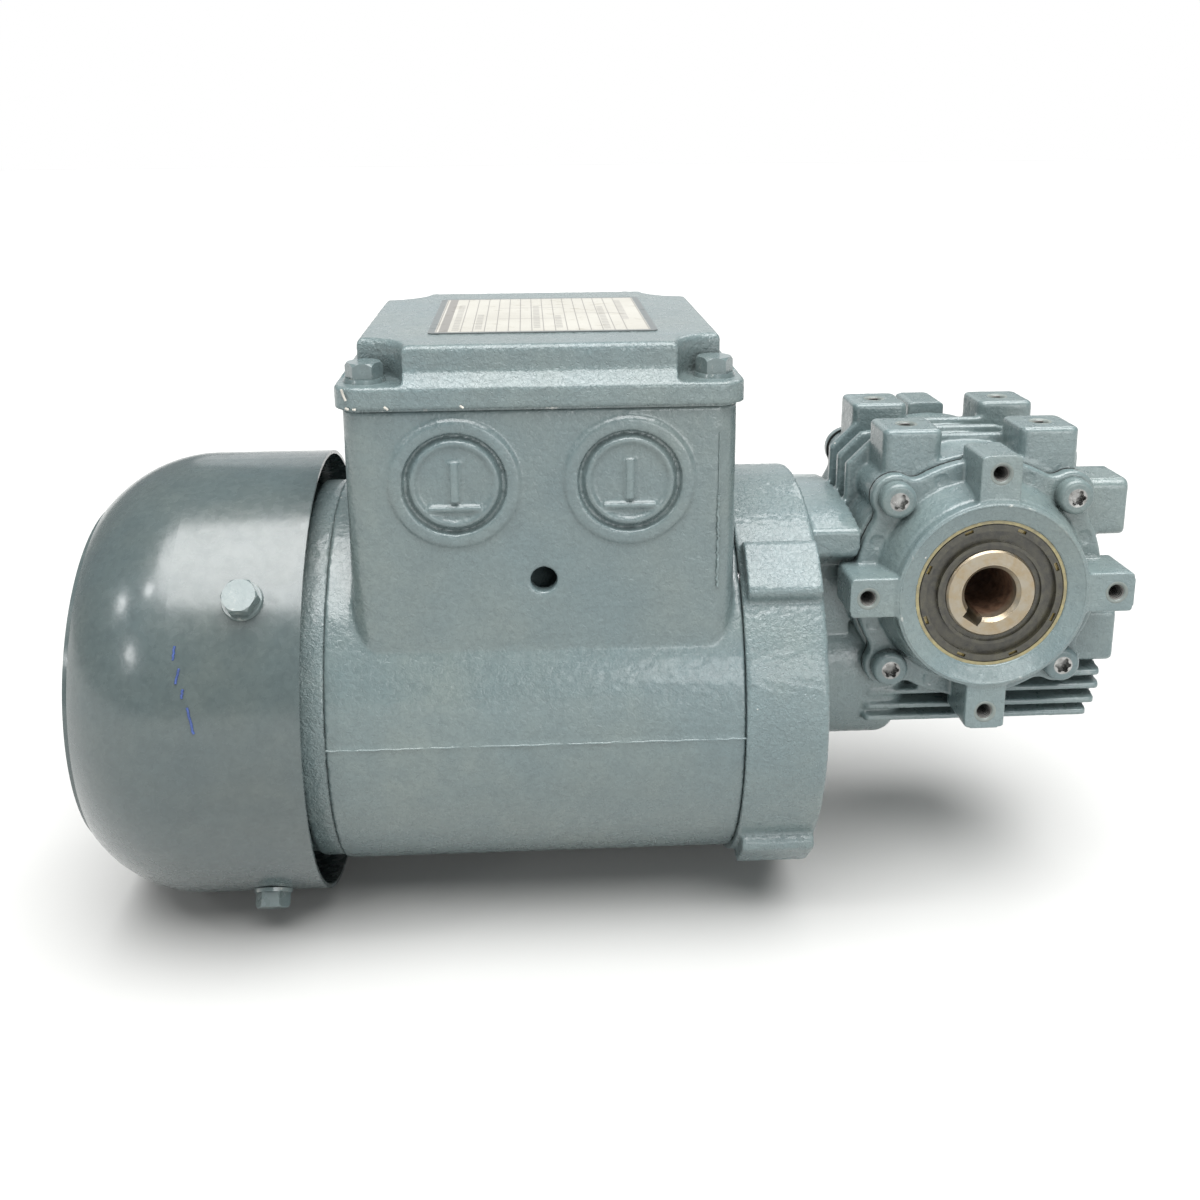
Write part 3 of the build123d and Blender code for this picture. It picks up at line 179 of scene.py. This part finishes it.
# ---------------------------------------------------------------- materials
class Surface:
    """One material under construction: makes its nodes and links them."""

    def __init__(self, name):
        self.material = bpy.data.materials.new(name)
        self.material.use_nodes = True
        self.tree = self.material.node_tree
        self.shader = self.tree.nodes["Principled BSDF"]
        self.place = self.node("ShaderNodeTexCoord").outputs["Object"]

    def node(self, kind, **settings):
        made = self.tree.nodes.new(kind)
        for name, value in settings.items():
            setattr(made, name, value)
        return made

    def join(self, source, target):
        """Links an output, or copies a plain value, into an input."""
        if isinstance(source, bpy.types.NodeSocket):
            self.tree.links.new(source, target)
        elif isinstance(source, (tuple, list)) and len(source) == 3 and target.type == "RGBA":
            target.default_value = (*source, 1)
        else:
            target.default_value = source

    def math(self, operation, a, b=0.0, clamp=False):
        made = self.node("ShaderNodeMath", operation=operation, use_clamp=clamp)
        self.join(a, made.inputs[0])
        self.join(b, made.inputs[1])
        return made.outputs[0]

    def noise(self, scale, detail=3.0, roughness=0.5, place=None, distortion=0.0):
        made = self.node("ShaderNodeTexNoise")
        self.join(place or self.place, made.inputs["Vector"])
        made.inputs["Scale"].default_value = scale
        made.inputs["Detail"].default_value = detail
        made.inputs["Roughness"].default_value = roughness
        made.inputs["Distortion"].default_value = distortion
        return made.outputs["Fac"]

    def stretch(self, x=1.0, y=1.0, z=1.0):
        """The object's coordinates scaled along each axis."""
        made = self.node("ShaderNodeMapping")
        self.join(self.place, made.inputs["Vector"])
        made.inputs["Scale"].default_value = (x, y, z)
        return made.outputs["Vector"]

    def ramp(self, value, low, high, start=0.0, end=1.0):
        """start to end as value goes from low to high."""
        made = self.node("ShaderNodeMapRange", clamp=True)
        self.join(value, made.inputs["Value"])
        for name, number in (("From Min", low), ("From Max", high), ("To Min", start), ("To Max", end)):
            made.inputs[name].default_value = number
        return made.outputs["Result"]

    def mix(self, share, a, b):
        made = self.node("ShaderNodeMix", data_type="RGBA")
        self.join(share, made.inputs["Factor"])
        self.join(a, made.inputs["A"])
        self.join(b, made.inputs["B"])
        return made.outputs["Result"]

    def edges(self, radius):
        """0 on flat ground and towards 1 on outer edges, from the bend of the mesh."""
        geometry = self.node("ShaderNodeNewGeometry")
        return self.ramp(geometry.outputs["Pointiness"], 0.5 + radius, 0.5 + 2.5 * radius)

    def in_sockets(self):
        """1 within the drive of each cover screw, whose four places are even about the output axis."""
        split = self.node("ShaderNodeSeparateXYZ")
        self.join(self.place, split.inputs[0])
        across, up = (self.math("SUBTRACT", self.math("ABSOLUTE", split.outputs[a]), COVER_SCREW) for a in "XZ")
        squares = self.math("ADD", self.math("MULTIPLY", across, across), self.math("MULTIPLY", up, up))
        return self.ramp(self.math("SQRT", squares), 2.7 * MM, 2.4 * MM)

    def occlusion_shade(self, distance):
        """1 in the open and towards 0 in corners and gaps, from ambient occlusion; it places painted shade."""
        made = self.node("ShaderNodeAmbientOcclusion", samples=4)
        made.inputs["Distance"].default_value = distance
        return made.outputs["AO"]

    def bump(self, *layers, normal=None):
        """Adds height layers of (height, depth in metres) one over another."""
        for height, depth in layers:
            made = self.node("ShaderNodeBump")
            made.inputs["Strength"].default_value = 1.0
            made.inputs["Distance"].default_value = depth
            self.join(height, made.inputs["Height"])
            if normal is not None:
                self.join(normal, made.inputs["Normal"])
            normal = made.outputs["Normal"]
        self.join(normal, self.shader.inputs["Normal"])

    def rounded(self, radius):
        made = self.node("ShaderNodeBevel", samples=4)
        made.inputs["Radius"].default_value = radius
        return made.outputs["Normal"]

    def finish(self, colour, roughness, metallic=0.0, specular=0.5, coat=0.0, coat_roughness=0.1):
        self.join(colour, self.shader.inputs["Base Color"])
        self.join(roughness, self.shader.inputs["Roughness"])
        self.join(metallic, self.shader.inputs["Metallic"])
        self.shader.inputs["Specular IOR Level"].default_value = specular
        self.shader.inputs["Coat Weight"].default_value = coat
        self.shader.inputs["Coat Roughness"].default_value = coat_roughness
        return self.material


ENAMEL = (0.124, 0.170, 0.176)
ENAMEL_WARM = (0.150, 0.186, 0.178)
# dark brown used both for dirt and for painted shade in corners and gaps
DIRT_AND_SHADE = (0.040, 0.038, 0.032)
CHIP = (0.60, 0.60, 0.56)


def enamel(name, grain, peel, gloss, wear=0.0, dirt_and_shade=0.0, painted_light_level=1.0, size=620, sockets=False):
    """Blue-grey machine enamel. grain is the depth of the cast texture under it and peel that of its own
    orange peel, in metres; gloss is its roughness; wear is how much bare metal shows on the edges, dirt_and_shade how
    much the corners and gaps are darkened by ambient occlusion (painted shade, patchy like dirt), painted_light_level
    how much lighter or darker this copy of the enamel is painted for the light on its parts (painted light and painted
    shade), and size the number of grains in a metre. sockets leaves the drives of the cover screws bare. The low pits
    of the cast grain are painted darker (painted shade)."""
    surface = Surface(name)
    clouds = surface.noise(24, 4, 0.6)
    mottle = surface.noise(150, 5, 0.65)
    # painted light: each copy of the enamel is made lighter or darker for the light that falls on its parts
    base = tuple(c * painted_light_level for c in ENAMEL)
    colour = surface.mix(surface.ramp(clouds, 0.36, 0.64), base, tuple(c * painted_light_level for c in ENAMEL_WARM))
    colour = surface.mix(surface.ramp(mottle, 0.35, 0.7, 0.0, 0.5), colour, tuple(c * 0.78 for c in base))
    # painted shade: corners and gaps are darkened towards dark brown by ambient occlusion, in patches like dirt
    if dirt_and_shade:
        corner = surface.ramp(surface.occlusion_shade(0.005), 0.72, 0.2)
        patchy_dirt_and_shade = surface.math("MULTIPLY", corner, surface.ramp(mottle, 0.3, 0.6, 0.35, 1.0))
        colour = surface.mix(surface.math("MULTIPLY", patchy_dirt_and_shade, dirt_and_shade), colour, DIRT_AND_SHADE)
    specks = surface.node("ShaderNodeTexVoronoi")
    surface.join(surface.place, specks.inputs["Vector"])
    specks.inputs["Scale"].default_value = 110
    speck = surface.ramp(specks.outputs["Distance"], 0.036, 0.022)
    rare = surface.ramp(specks.outputs["Color"], 0.74, 0.76)
    colour = surface.mix(surface.math("MULTIPLY", speck, rare), colour, CHIP)
    coarse = surface.noise(size, 3, 0.55, distortion=0.8)
    if wear:
        patches = surface.ramp(surface.noise(240, 5, 0.7), 0.66 - wear, 0.72)
        worn = surface.math("MULTIPLY", surface.edges(0.03), patches)
        colour = surface.mix(worn, colour, CHIP)
    # painted shade: the low pits of the cast grain, which the same noise gives as bump height, are painted darker
    colour = surface.mix(surface.ramp(coarse, 0.60, 0.34, 0.0, 0.30), colour, tuple(c * 0.55 for c in base))
    roughness = surface.ramp(surface.noise(380, 3), 0.3, 0.7, gloss * 0.8, gloss * 1.25)
    fine = surface.noise(2600, 2)
    waves = surface.noise(230, 1)
    surface.bump((waves, peel), (coarse, grain), (fine, grain * 0.2))
    if sockets:
        bare = surface.in_sockets()
        colour = surface.mix(bare, colour, surface.mix(surface.ramp(mottle, 0.35, 0.65), (0.44, 0.44, 0.43), (0.13, 0.13, 0.125)))
        return surface.finish(colour, roughness, bare, specular=0.55)
    return surface.finish(colour, roughness, specular=0.55, coat=0.45, coat_roughness=0.14)


def ink(name, colour):
    surface = Surface(name)
    tint = surface.mix(surface.ramp(surface.noise(900, 4, 0.7), 0.35, 0.65), colour, tuple(c * 1.9 for c in colour))
    surface.bump((surface.noise(2400, 2), 0.00002))
    return surface.finish(tint, 0.45)


def bare_steel(name, colour=(0.56, 0.54, 0.50), turned_about_y=False, rust=0.0):
    """Machined steel; turned_about_y gives it the rings of a facing cut about the output axis."""
    surface = Surface(name)
    if turned_about_y:
        split = surface.node("ShaderNodeSeparateXYZ")
        surface.join(surface.place, split.inputs[0])
        x, z = split.outputs["X"], split.outputs["Z"]
        radius = surface.math("SQRT", surface.math("ADD", surface.math("MULTIPLY", x, x), surface.math("MULTIPLY", z, z)))
        line = surface.node("ShaderNodeCombineXYZ")
        surface.join(radius, line.inputs["X"])
        surface.join(surface.math("MULTIPLY", split.outputs["Y"], 1.0), line.inputs["Y"])
        rings = surface.noise(5200, 2, place=line.outputs[0])
        depth_in = surface.ramp(surface.math("ABSOLUTE", split.outputs["Y"]), 0.0375, 0.0335)
        inside = surface.ramp(radius, 0.0082, 0.0074)
        stain = surface.noise(330, 5, 0.65)
        tint = surface.mix(surface.ramp(stain, 0.35, 0.7), colour, tuple(c * f for c, f in zip(colour, (0.92, 0.80, 0.62))))
        rusty = surface.mix(surface.ramp(surface.noise(500, 4), 0.35, 0.65), (0.105, 0.055, 0.032), (0.20, 0.115, 0.07))
        share = surface.math("MULTIPLY", surface.math("MULTIPLY", inside, depth_in), surface.ramp(stain, 0.2, 0.45, 0.75, 1.0))
        tint = surface.mix(share, tint, rusty)
        surface.bump((rings, 0.00003), (surface.noise(900, 4), 0.00002))
        roughness = surface.ramp(share, 0.0, 1.0, 0.36, 0.75)
        return surface.finish(tint, roughness, surface.ramp(share, 0.0, 1.0, 0.9, 0.25))
    grainy = surface.noise(1400, 3)
    tint = surface.mix(surface.ramp(surface.noise(120, 4), 0.3, 0.7), colour, tuple(c * 0.72 for c in colour))
    if rust:
        tint = surface.mix(surface.ramp(surface.noise(260, 5, 0.7), 0.62, 0.75, 0.0, rust), tint, (0.16, 0.075, 0.035))
    surface.bump((grainy, 0.00003))
    return surface.finish(tint, surface.ramp(grainy, 0.3, 0.7, 0.28, 0.45), 0.95)


def plastic(name, colour, roughness=0.5, depth=0.00004, scale=1500):
    surface = Surface(name)
    tint = surface.mix(surface.ramp(surface.noise(90, 4), 0.3, 0.7), colour, tuple(c * 0.7 for c in colour))
    surface.bump((surface.noise(scale, 2), depth))
    return surface.finish(tint, surface.ramp(surface.noise(300, 3), 0.3, 0.7, roughness * 0.85, roughness * 1.15))


def laminations(name):
    """Stacked electrical sheet: fine lines across the motor axis."""
    surface = Surface(name)
    split = surface.node("ShaderNodeSeparateXYZ")
    surface.join(surface.place, split.inputs[0])
    lines = surface.math("PINGPONG", split.outputs["X"], 0.00025)
    colour = surface.mix(surface.ramp(lines, 0.0, 0.00008), (0.05, 0.05, 0.055), (0.20, 0.20, 0.21))
    surface.bump((lines, 0.3))
    return surface.finish(colour, 0.5, 0.8)


def label_face(name):
    """A pale printed plate: ruled columns and a dark header band, with no writing."""
    surface = Surface(name)
    low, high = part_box("nameplate")
    split = surface.node("ShaderNodeSeparateXYZ")
    surface.join(surface.place, split.inputs[0])
    along = surface.ramp(split.outputs["X"], low.x, high.x)
    across = surface.ramp(split.outputs["Y"], low.y, high.y)

    def line(position, value, width=0.0035):
        return surface.ramp(surface.math("ABSOLUTE", surface.math("SUBTRACT", value, position)), width, width * 0.5)

    def span(value, start, end):
        return surface.math("MULTIPLY", surface.math("GREATER_THAN", value, start), surface.math("LESS_THAN", value, end))

    ink = surface.math("MULTIPLY", span(along, 0.045, 0.085), 0.85)
    frame_lines = [line(p, along) for p in (0.035, 0.965)] + [line(p, across) for p in (0.03, 0.97)]
    columns = [line(0.14 + 0.052 * i, along, 0.0028) for i in range(15)]
    for part in (*frame_lines, *columns):
        ink = surface.math("MAXIMUM", ink, surface.math("MULTIPLY", part, 0.8))
    for height, start, end in ((0.36, 0.30, 0.61), (0.68, 0.30, 0.61), (0.5, 0.66, 0.87)):
        rule = surface.math("MULTIPLY", line(height, across, 0.006), span(along, start, end))
        ink = surface.math("MAXIMUM", ink, surface.math("MULTIPLY", rule, 0.7))
    inside = surface.math("MULTIPLY", span(along, 0.03, 0.97), span(across, 0.02, 0.98))
    bars = surface.math("FRACT", surface.math("MULTIPLY", across, 23))
    dashes = surface.math("MULTIPLY", surface.math("GREATER_THAN", bars, 0.35), 0.5)
    for start, end, low_end, high_end in ((0.10, 0.13, 0.05, 0.8), (0.20, 0.23, 0.08, 0.5), (0.46, 0.49, 0.1, 0.75),
                                          (0.56, 0.59, 0.1, 0.45), (0.77, 0.80, 0.05, 0.7), (0.87, 0.90, 0.3, 0.9)):
        block = surface.math("MULTIPLY", span(along, start, end), span(across, low_end, high_end))
        ink = surface.math("MAXIMUM", ink, surface.math("MULTIPLY", block, dashes))
    ink = surface.math("MULTIPLY", ink, inside)
    paper = surface.mix(surface.ramp(surface.noise(60, 4), 0.3, 0.7), (0.46, 0.447, 0.395), (0.39, 0.375, 0.325))
    stains = surface.ramp(surface.noise(210, 5, 0.7), 0.56, 0.74, 0.0, 0.5)
    paper = surface.mix(stains, paper, (0.24, 0.22, 0.18))
    printed = surface.mix(ink, paper, (0.13, 0.12, 0.11))
    edge = surface.mix(inside, (0.10, 0.115, 0.115), printed)
    surface.bump((surface.noise(900, 2), 0.00002))
    return surface.finish(edge, surface.ramp(stains, 0.0, 0.5, 0.28, 0.5))


def seal_face(name):
    """Olive-brown rubber with a pale lacquered rim and a dusty oily film."""
    surface = Surface(name)
    split = surface.node("ShaderNodeSeparateXYZ")
    surface.join(surface.place, split.inputs[0])
    x, z = split.outputs["X"], split.outputs["Z"]
    radius = surface.math("SQRT", surface.math("ADD", surface.math("MULTIPLY", x, x), surface.math("MULTIPLY", z, z)))
    dirt = surface.noise(480, 5, 0.65)
    rubber = surface.mix(surface.ramp(dirt, 0.35, 0.7), (0.060, 0.056, 0.037), (0.018, 0.017, 0.014))
    rim = surface.mix(surface.ramp(dirt, 0.3, 0.7), (0.34, 0.29, 0.13), (0.17, 0.15, 0.09))
    depth = surface.math("ABSOLUTE", split.outputs["Y"])
    window = surface.math("MULTIPLY", surface.ramp(depth, 0.0371, 0.0369), surface.ramp(radius, 0.0177, 0.0179))
    colour = surface.mix(window, rubber, (0.42, 0.33, 0.13))
    colour = surface.mix(surface.ramp(radius, 0.0193, 0.0195), colour, rim)
    surface.bump((dirt, 0.00006), (surface.noise(2200, 2), 0.00003))
    return surface.finish(colour, surface.ramp(dirt, 0.3, 0.7, 0.22, 0.5), coat=0.3, coat_roughness=0.2)


# ---------------------------------------------------------------- cast pieces with rounded edges
def cast_copy(node, voxel, rounds, grain=0.0, grain_size=0.002):
    """A smoothed copy of a CAD casting, with the soft edges and the uneven skin of the real one."""
    source = nodes[node]
    piece = bpy.data.objects.new(node + "_cast", source.data.copy())
    scene.collection.objects.link(piece)
    remesh = piece.modifiers.new("remesh", "REMESH")
    remesh.mode = "VOXEL"
    remesh.voxel_size = voxel
    smooth = piece.modifiers.new("smooth", "SMOOTH")
    smooth.factor = 0.5
    smooth.iterations = rounds
    if grain:
        clouds = bpy.data.textures.new(node + "_grain", "CLOUDS")
        clouds.noise_scale = grain_size
        clouds.noise_depth = 1
        displace = piece.modifiers.new("grain", "DISPLACE")
        displace.texture = clouds
        displace.texture_coords = "GLOBAL"
        displace.mid_level = 0.5
        displace.strength = grain
    mesh = bpy.data.meshes.new_from_object(piece.evaluated_get(bpy.context.evaluated_depsgraph_get()))
    piece.modifiers.clear()
    piece.data = mesh
    mesh.shade_smooth()
    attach(piece, source["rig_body"])
    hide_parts(node)
    return piece


def bead(name, lines, radius, node, material):
    """Thin round beads along lines of points, joined in one piece that rides with a CAD node."""
    curve = bpy.data.curves.new(name, "CURVE")
    curve.dimensions = "3D"
    curve.bevel_depth = radius
    curve.bevel_resolution = 2
    curve.use_fill_caps = True
    for points in lines:
        spline = curve.splines.new("POLY")
        spline.points.add(len(points) - 1)
        for target, point in zip(spline.points, points):
            target.co = (*point, 1)
    shape = bpy.data.objects.new(name + "_line", curve)
    scene.collection.objects.link(shape)
    mesh = bpy.data.meshes.new_from_object(shape.evaluated_get(bpy.context.evaluated_depsgraph_get()))
    bpy.data.objects.remove(shape)
    piece = bpy.data.objects.new(name, mesh)
    scene.collection.objects.link(piece)
    mesh.shade_smooth()
    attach(piece, nodes[node]["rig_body"])
    dress(piece, material)
    return piece


def around_motor(x, angle, radius):
    """A point on a cylinder about the motor axis; the angle runs from +Y towards +Z."""
    turn = math.radians(angle)
    return Vector((x, math.cos(turn) * radius, MOTOR_Z + math.sin(turn) * radius))


def thread_line(centre, outward, radius, pitch, depth):
    """A helix down a tapped hole from its mouth."""
    axis = Vector(outward)
    side = axis.orthogonal().normalized()
    other = axis.cross(side)
    steps = 20
    turns = depth / pitch
    line = []
    for i in range(int(turns * steps) + 1):
        turn = math.tau * i / steps
        swing = side * math.cos(turn) + other * math.sin(turn)
        line.append(Vector(centre) - axis * (0.5 * MM + pitch * i / steps) + swing * radius)
    return line


def mouth_rings(name, places, outward, node, material):
    """Bare cones at the mouths of tapped holes, just proud of the castings' countersinks."""
    shape = bmesh.new()
    axis = Vector(outward)
    side = axis.orthogonal().normalized()
    other = axis.cross(side)
    steps = 40
    profile = ((2.05, -0.9), (2.15, -0.30), (2.95, 0.06), (3.05, -0.05))     # radius, height; millimetres
    for place in places:
        loops = []
        for radius, height in profile:
            loop = []
            for i in range(steps):
                turn = math.tau * i / steps
                swing = side * math.cos(turn) + other * math.sin(turn)
                loop.append(shape.verts.new(Vector(place) + (swing * radius + axis * height) * MM))
            loops.append(loop)
        for inner, outer in zip(loops, loops[1:]):
            for i in range(steps):
                j = (i + 1) % steps
                shape.faces.new((inner[i], inner[j], outer[j], outer[i]))
    mesh = bpy.data.meshes.new(name)
    shape.to_mesh(mesh)
    shape.free()
    mesh.shade_smooth()
    piece = bpy.data.objects.new(name, mesh)
    scene.collection.objects.link(piece)
    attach(piece, nodes[node]["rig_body"])
    dress(piece, material)


def wander(points, amount, seed):
    """The same points, each moved a little, as a hand or a worn mould would leave them."""
    moved = []
    for i, point in enumerate(points):
        shift = noise.noise_vector(Vector(point) * 260 + Vector((seed, i * 0.7, 0)))
        moved.append(Vector(point) + shift * amount)
    return moved


def dress(piece, material):
    piece.data.materials.clear()
    piece.data.materials.append(material)


# ---------------------------------------------------------------- build
add_camera()
add_stage()

# copies of the one enamel, each painted lighter or darker for the light on its parts (painted light and painted shade);
# their corners get painted shade from ambient occlusion, patchy like dirt
cast_paint = enamel("cast_enamel", grain=0.00022, peel=0.00010, gloss=0.30, wear=0.05, dirt_and_shade=0.3, painted_light_level=1.18, size=900)
barrel_paint = enamel("barrel_enamel", grain=0.00020, peel=0.00014, gloss=0.28, wear=0.04, dirt_and_shade=0.35, size=800)
rough_paint = enamel("rough_cast_enamel", grain=0.00042, peel=0.00012, gloss=0.30, wear=0.07, dirt_and_shade=0.5, painted_light_level=1.1, size=1000)
# the cowl's copy is painted darker: painted shade
shaded_sheet_paint = enamel("shaded_sheet_enamel", grain=0.00002, peel=0.00006, gloss=0.26, painted_light_level=0.55)
# the copy for seams, ribs and ledges is painted lighter: painted highlight along the beads
ridge_highlight_paint = enamel("ridge_highlight_enamel", grain=0.00010, peel=0.00008, gloss=0.26, painted_light_level=1.12, size=800)
screw_paint = enamel("screw_enamel", grain=0.00004, peel=0.00004, gloss=0.28, wear=0.06, dirt_and_shade=0.6)
socket_paint = enamel("cover_screw_enamel", grain=0.00004, peel=0.00004, gloss=0.28, dirt_and_shade=0.7, painted_light_level=1.1, sockets=True)
thread_metal = plastic("cut_thread", (0.16, 0.155, 0.145), 0.42)
mouth_metal = plastic("cut_mouth", (0.20, 0.23, 0.215), 0.36)
bare_cast = plastic("chipped_paint", (0.62, 0.60, 0.54), 0.5)

steel = bare_steel("bare_steel")
zinc = bare_steel("zinc_plate", (0.60, 0.61, 0.62), rust=0.3)
shaft_steel = bare_steel("shaft_steel", (0.34, 0.305, 0.245), turned_about_y=True)
by_slot = {
    "painted_casting": cast_paint,
    "painted_sheet_steel": shaded_sheet_paint,
    "painted_screws": screw_paint,
    "lobed_screws": socket_paint,
    "zinc_steel": zinc,
    "machined_steel": steel,
    "lamination_steel": laminations("electrical_sheet"),
    "cast_aluminium": bare_steel("cast_aluminium", (0.62, 0.63, 0.65)),
    "winding_copper": plastic("varnished_copper", (0.42, 0.16, 0.07), 0.3, 0.00008, 700),
    "gear_bronze": bare_steel("gear_bronze", (0.62, 0.40, 0.18)),
    "terminal_brass": bare_steel("terminal_brass", (0.70, 0.55, 0.28)),
    "board_resin": plastic("board_resin", (0.035, 0.035, 0.04), 0.45),
    "fan_plastic": plastic("fan_plastic", (0.03, 0.03, 0.033), 0.45),
    "label_face": label_face("label_print"),
    "gasket_rubber": plastic("gasket_rubber", (0.022, 0.022, 0.021), 0.65),
    "seal_rubber": seal_face("seal_rubber"),
    "bearing_steel": bare_steel("bearing_steel", (0.66, 0.67, 0.69)),
}
for part in frame["record"]["subparts"]:
    dress(nodes[part["node"]], by_slot[part["material_slot"]])
dress(nodes["hollow_output_shaft"], shaft_steel)
dress(nodes["terminal_box_gasket"], rough_paint)      # painted over with the box

for node, voxel, rounds, paint, grain, grain_size in (
        ("gear_housing", 0.0005, 3, cast_paint, 0.00012, 0.0022),
        ("front_cover", 0.0004, 2, cast_paint, 0.00007, 0.0018),
        ("rear_cover", 0.0004, 2, cast_paint, 0.00007, 0.0018),
        ("drive_end_flange", 0.0006, 3, rough_paint, 0.00026, 0.0011),
        ("terminal_box_lid", 0.0005, 2, rough_paint, 0.00020, 0.0010),
        ("stator_housing", 0.00055, 2, barrel_paint, 0.00010, 0.0016),
        ("rear_end_shield", 0.0007, 3, rough_paint, 0.00020, 0.0018)):
    casting = cast_copy(node, voxel, rounds, grain, grain_size)
    dress(casting, paint)

# the parting line of the barrel's mould, on both sides, and a second seam up the box's front corner
barrel_start, barrel_end = (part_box("stator_housing")[i].x for i in (0, 1))
barrel_r = 54.2 * MM
for side, angle in (("front", 180), ("rear", 0)):
    run = [around_motor(barrel_start + (barrel_end - barrel_start) * i / 60, angle, barrel_r) for i in range(61)]
    bead("parting_line_" + side, [wander(run, 0.25 * MM, 3)], 0.28 * MM, "stator_housing", ridge_highlight_paint)

# turned threads in the open tapped holes
tap_r = 2.05 * MM
pad_face, pad_x, pad_y = 41.4 * MM, 18.6 * MM, 16.2 * MM
lug_face, lug_reach = 39.2 * MM, 33.2 * MM
hub_face, hub_rim_r = 39.35 * MM, 24.9 * MM
signs = [(a, b) for a in (-1, 1) for b in (-1, 1)]
top_places = [(a * pad_x, b * pad_y, pad_face) for a, b in signs]
end_places = [(pad_face, b * pad_y, a * pad_x) for a, b in signs]
pad_threads = [thread_line(place, (0, 0, 1), tap_r, 0.8 * MM, 9 * MM) for place in top_places]
pad_threads += [thread_line(place, (1, 0, 0), tap_r, 0.8 * MM, 9 * MM) for place in end_places]
bead("pad_threads", pad_threads, 0.22 * MM, "gear_housing", thread_metal)
mouth_rings("top_pad_mouths", top_places, (0, 0, 1), "gear_housing", mouth_metal)
mouth_rings("end_pad_mouths", end_places, (1, 0, 0), "gear_housing", mouth_metal)
for cover, side in (("front_cover", -1), ("rear_cover", 1)):
    lug_places = [(lug_reach * math.cos(turn), side * lug_face, lug_reach * math.sin(turn))
                  for turn in (0, math.pi / 2, math.pi, 3 * math.pi / 2)]
    lug_threads = [thread_line(place, (0, side, 0), tap_r, 0.8 * MM, 10 * MM) for place in lug_places]
    bead(cover + "_threads", lug_threads, 0.22 * MM, cover, thread_metal)
    mouth_rings(cover + "_mouths", lug_places, (0, side, 0), cover, mouth_metal)
    rim = [Vector((hub_rim_r * math.cos(math.tau * i / 90), side * hub_face, hub_rim_r * math.sin(math.tau * i / 90)))
           for i in range(91)]
    bead(cover + "_hub_rim", [rim], 0.5 * MM, cover, cast_paint)

# on the terminal box: an upright rib over a ledge on each knock-out, and a ragged seam of the mould
box_x, box_half, knockout_x, knockout_z = -118 * MM, 48.8 * MM, 21.4 * MM, 36.4 * MM
ribs, ledges = [], []
for side in (-1, 1):
    for place in (box_x - knockout_x, box_x + knockout_x):
        face = side * (box_half + 0.2 * MM)
        ribs.append([Vector((place, face, knockout_z + height * MM)) for height in (5.4, 3.0, 0.0, -3.0, -4.2)])
        ledges.append([Vector((place + across * MM, face, knockout_z - 6.2 * MM)) for across in (-6.3, 0.0, 6.3)])
bead("knockout_ribs", ribs, 1.25 * MM, "stator_housing", ridge_highlight_paint)
bead("knockout_ledges", ledges, 0.7 * MM, "stator_housing", ridge_highlight_paint)
seam_x = -74.6 * MM
seam = [Vector((seam_x, -box_half, (48 - 0.5 * i) * MM)) for i in range(80)]
bead("box_seam", [wander(seam[:32], 0.1 * MM, 5)], 0.16 * MM, "stator_housing", ridge_highlight_paint)
bead("box_seam_ragged", [wander(seam[31:], 0.45 * MM, 7)], 0.38 * MM, "stator_housing", ridge_highlight_paint)

# knocks that went through the paint of the lid's front edge
lid_low, lid_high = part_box("terminal_box_lid")
chips = []
for along, start, end in ((2.6, 5.2, 2.4), (3.2, 0.8, 0.4), (5.0, 0.5, 0.3), (12.4, 0.9, 0.3), (30.5, 0.8, 0.2)):
    x, y = lid_low.x + along * MM, lid_low.y + 0.05 * MM
    chips.append(wander([Vector((x + 0.22 * i * MM, y, lid_low.z + (start + (end - start) * i / 3) * MM)) for i in range(4)],
                        0.3 * MM, 11))
bead("lid_chips", chips, 0.30 * MM, "terminal_box_lid", bare_cast)

# strokes of a marker pen on the cowl
cowl_r = 62.0 * MM
strokes = []
for x, top, bottom, slant in ((-208.2, -1.5, -4.5, -0.3), (-206.9, -6.3, -9.8, -0.8), (-206.0, -11.0, -13.0, -0.3),
                              (-205.0, -15.2, -21.5, 1.4)):
    stroke = []
    for i in range(9):
        share = i / 8
        height = (top + (bottom - top) * share) * MM - MOTOR_Z
        across = -math.sqrt(cowl_r ** 2 - height ** 2)
        stroke.append(Vector(((x + slant * share) * MM, across, height + MOTOR_Z)))
    strokes.append(wander(stroke, 0.2 * MM, 9))
bead("pen_marks", strokes, 0.32 * MM, "fan_cowl", ink("marker_ink", (0.025, 0.045, 0.14)))
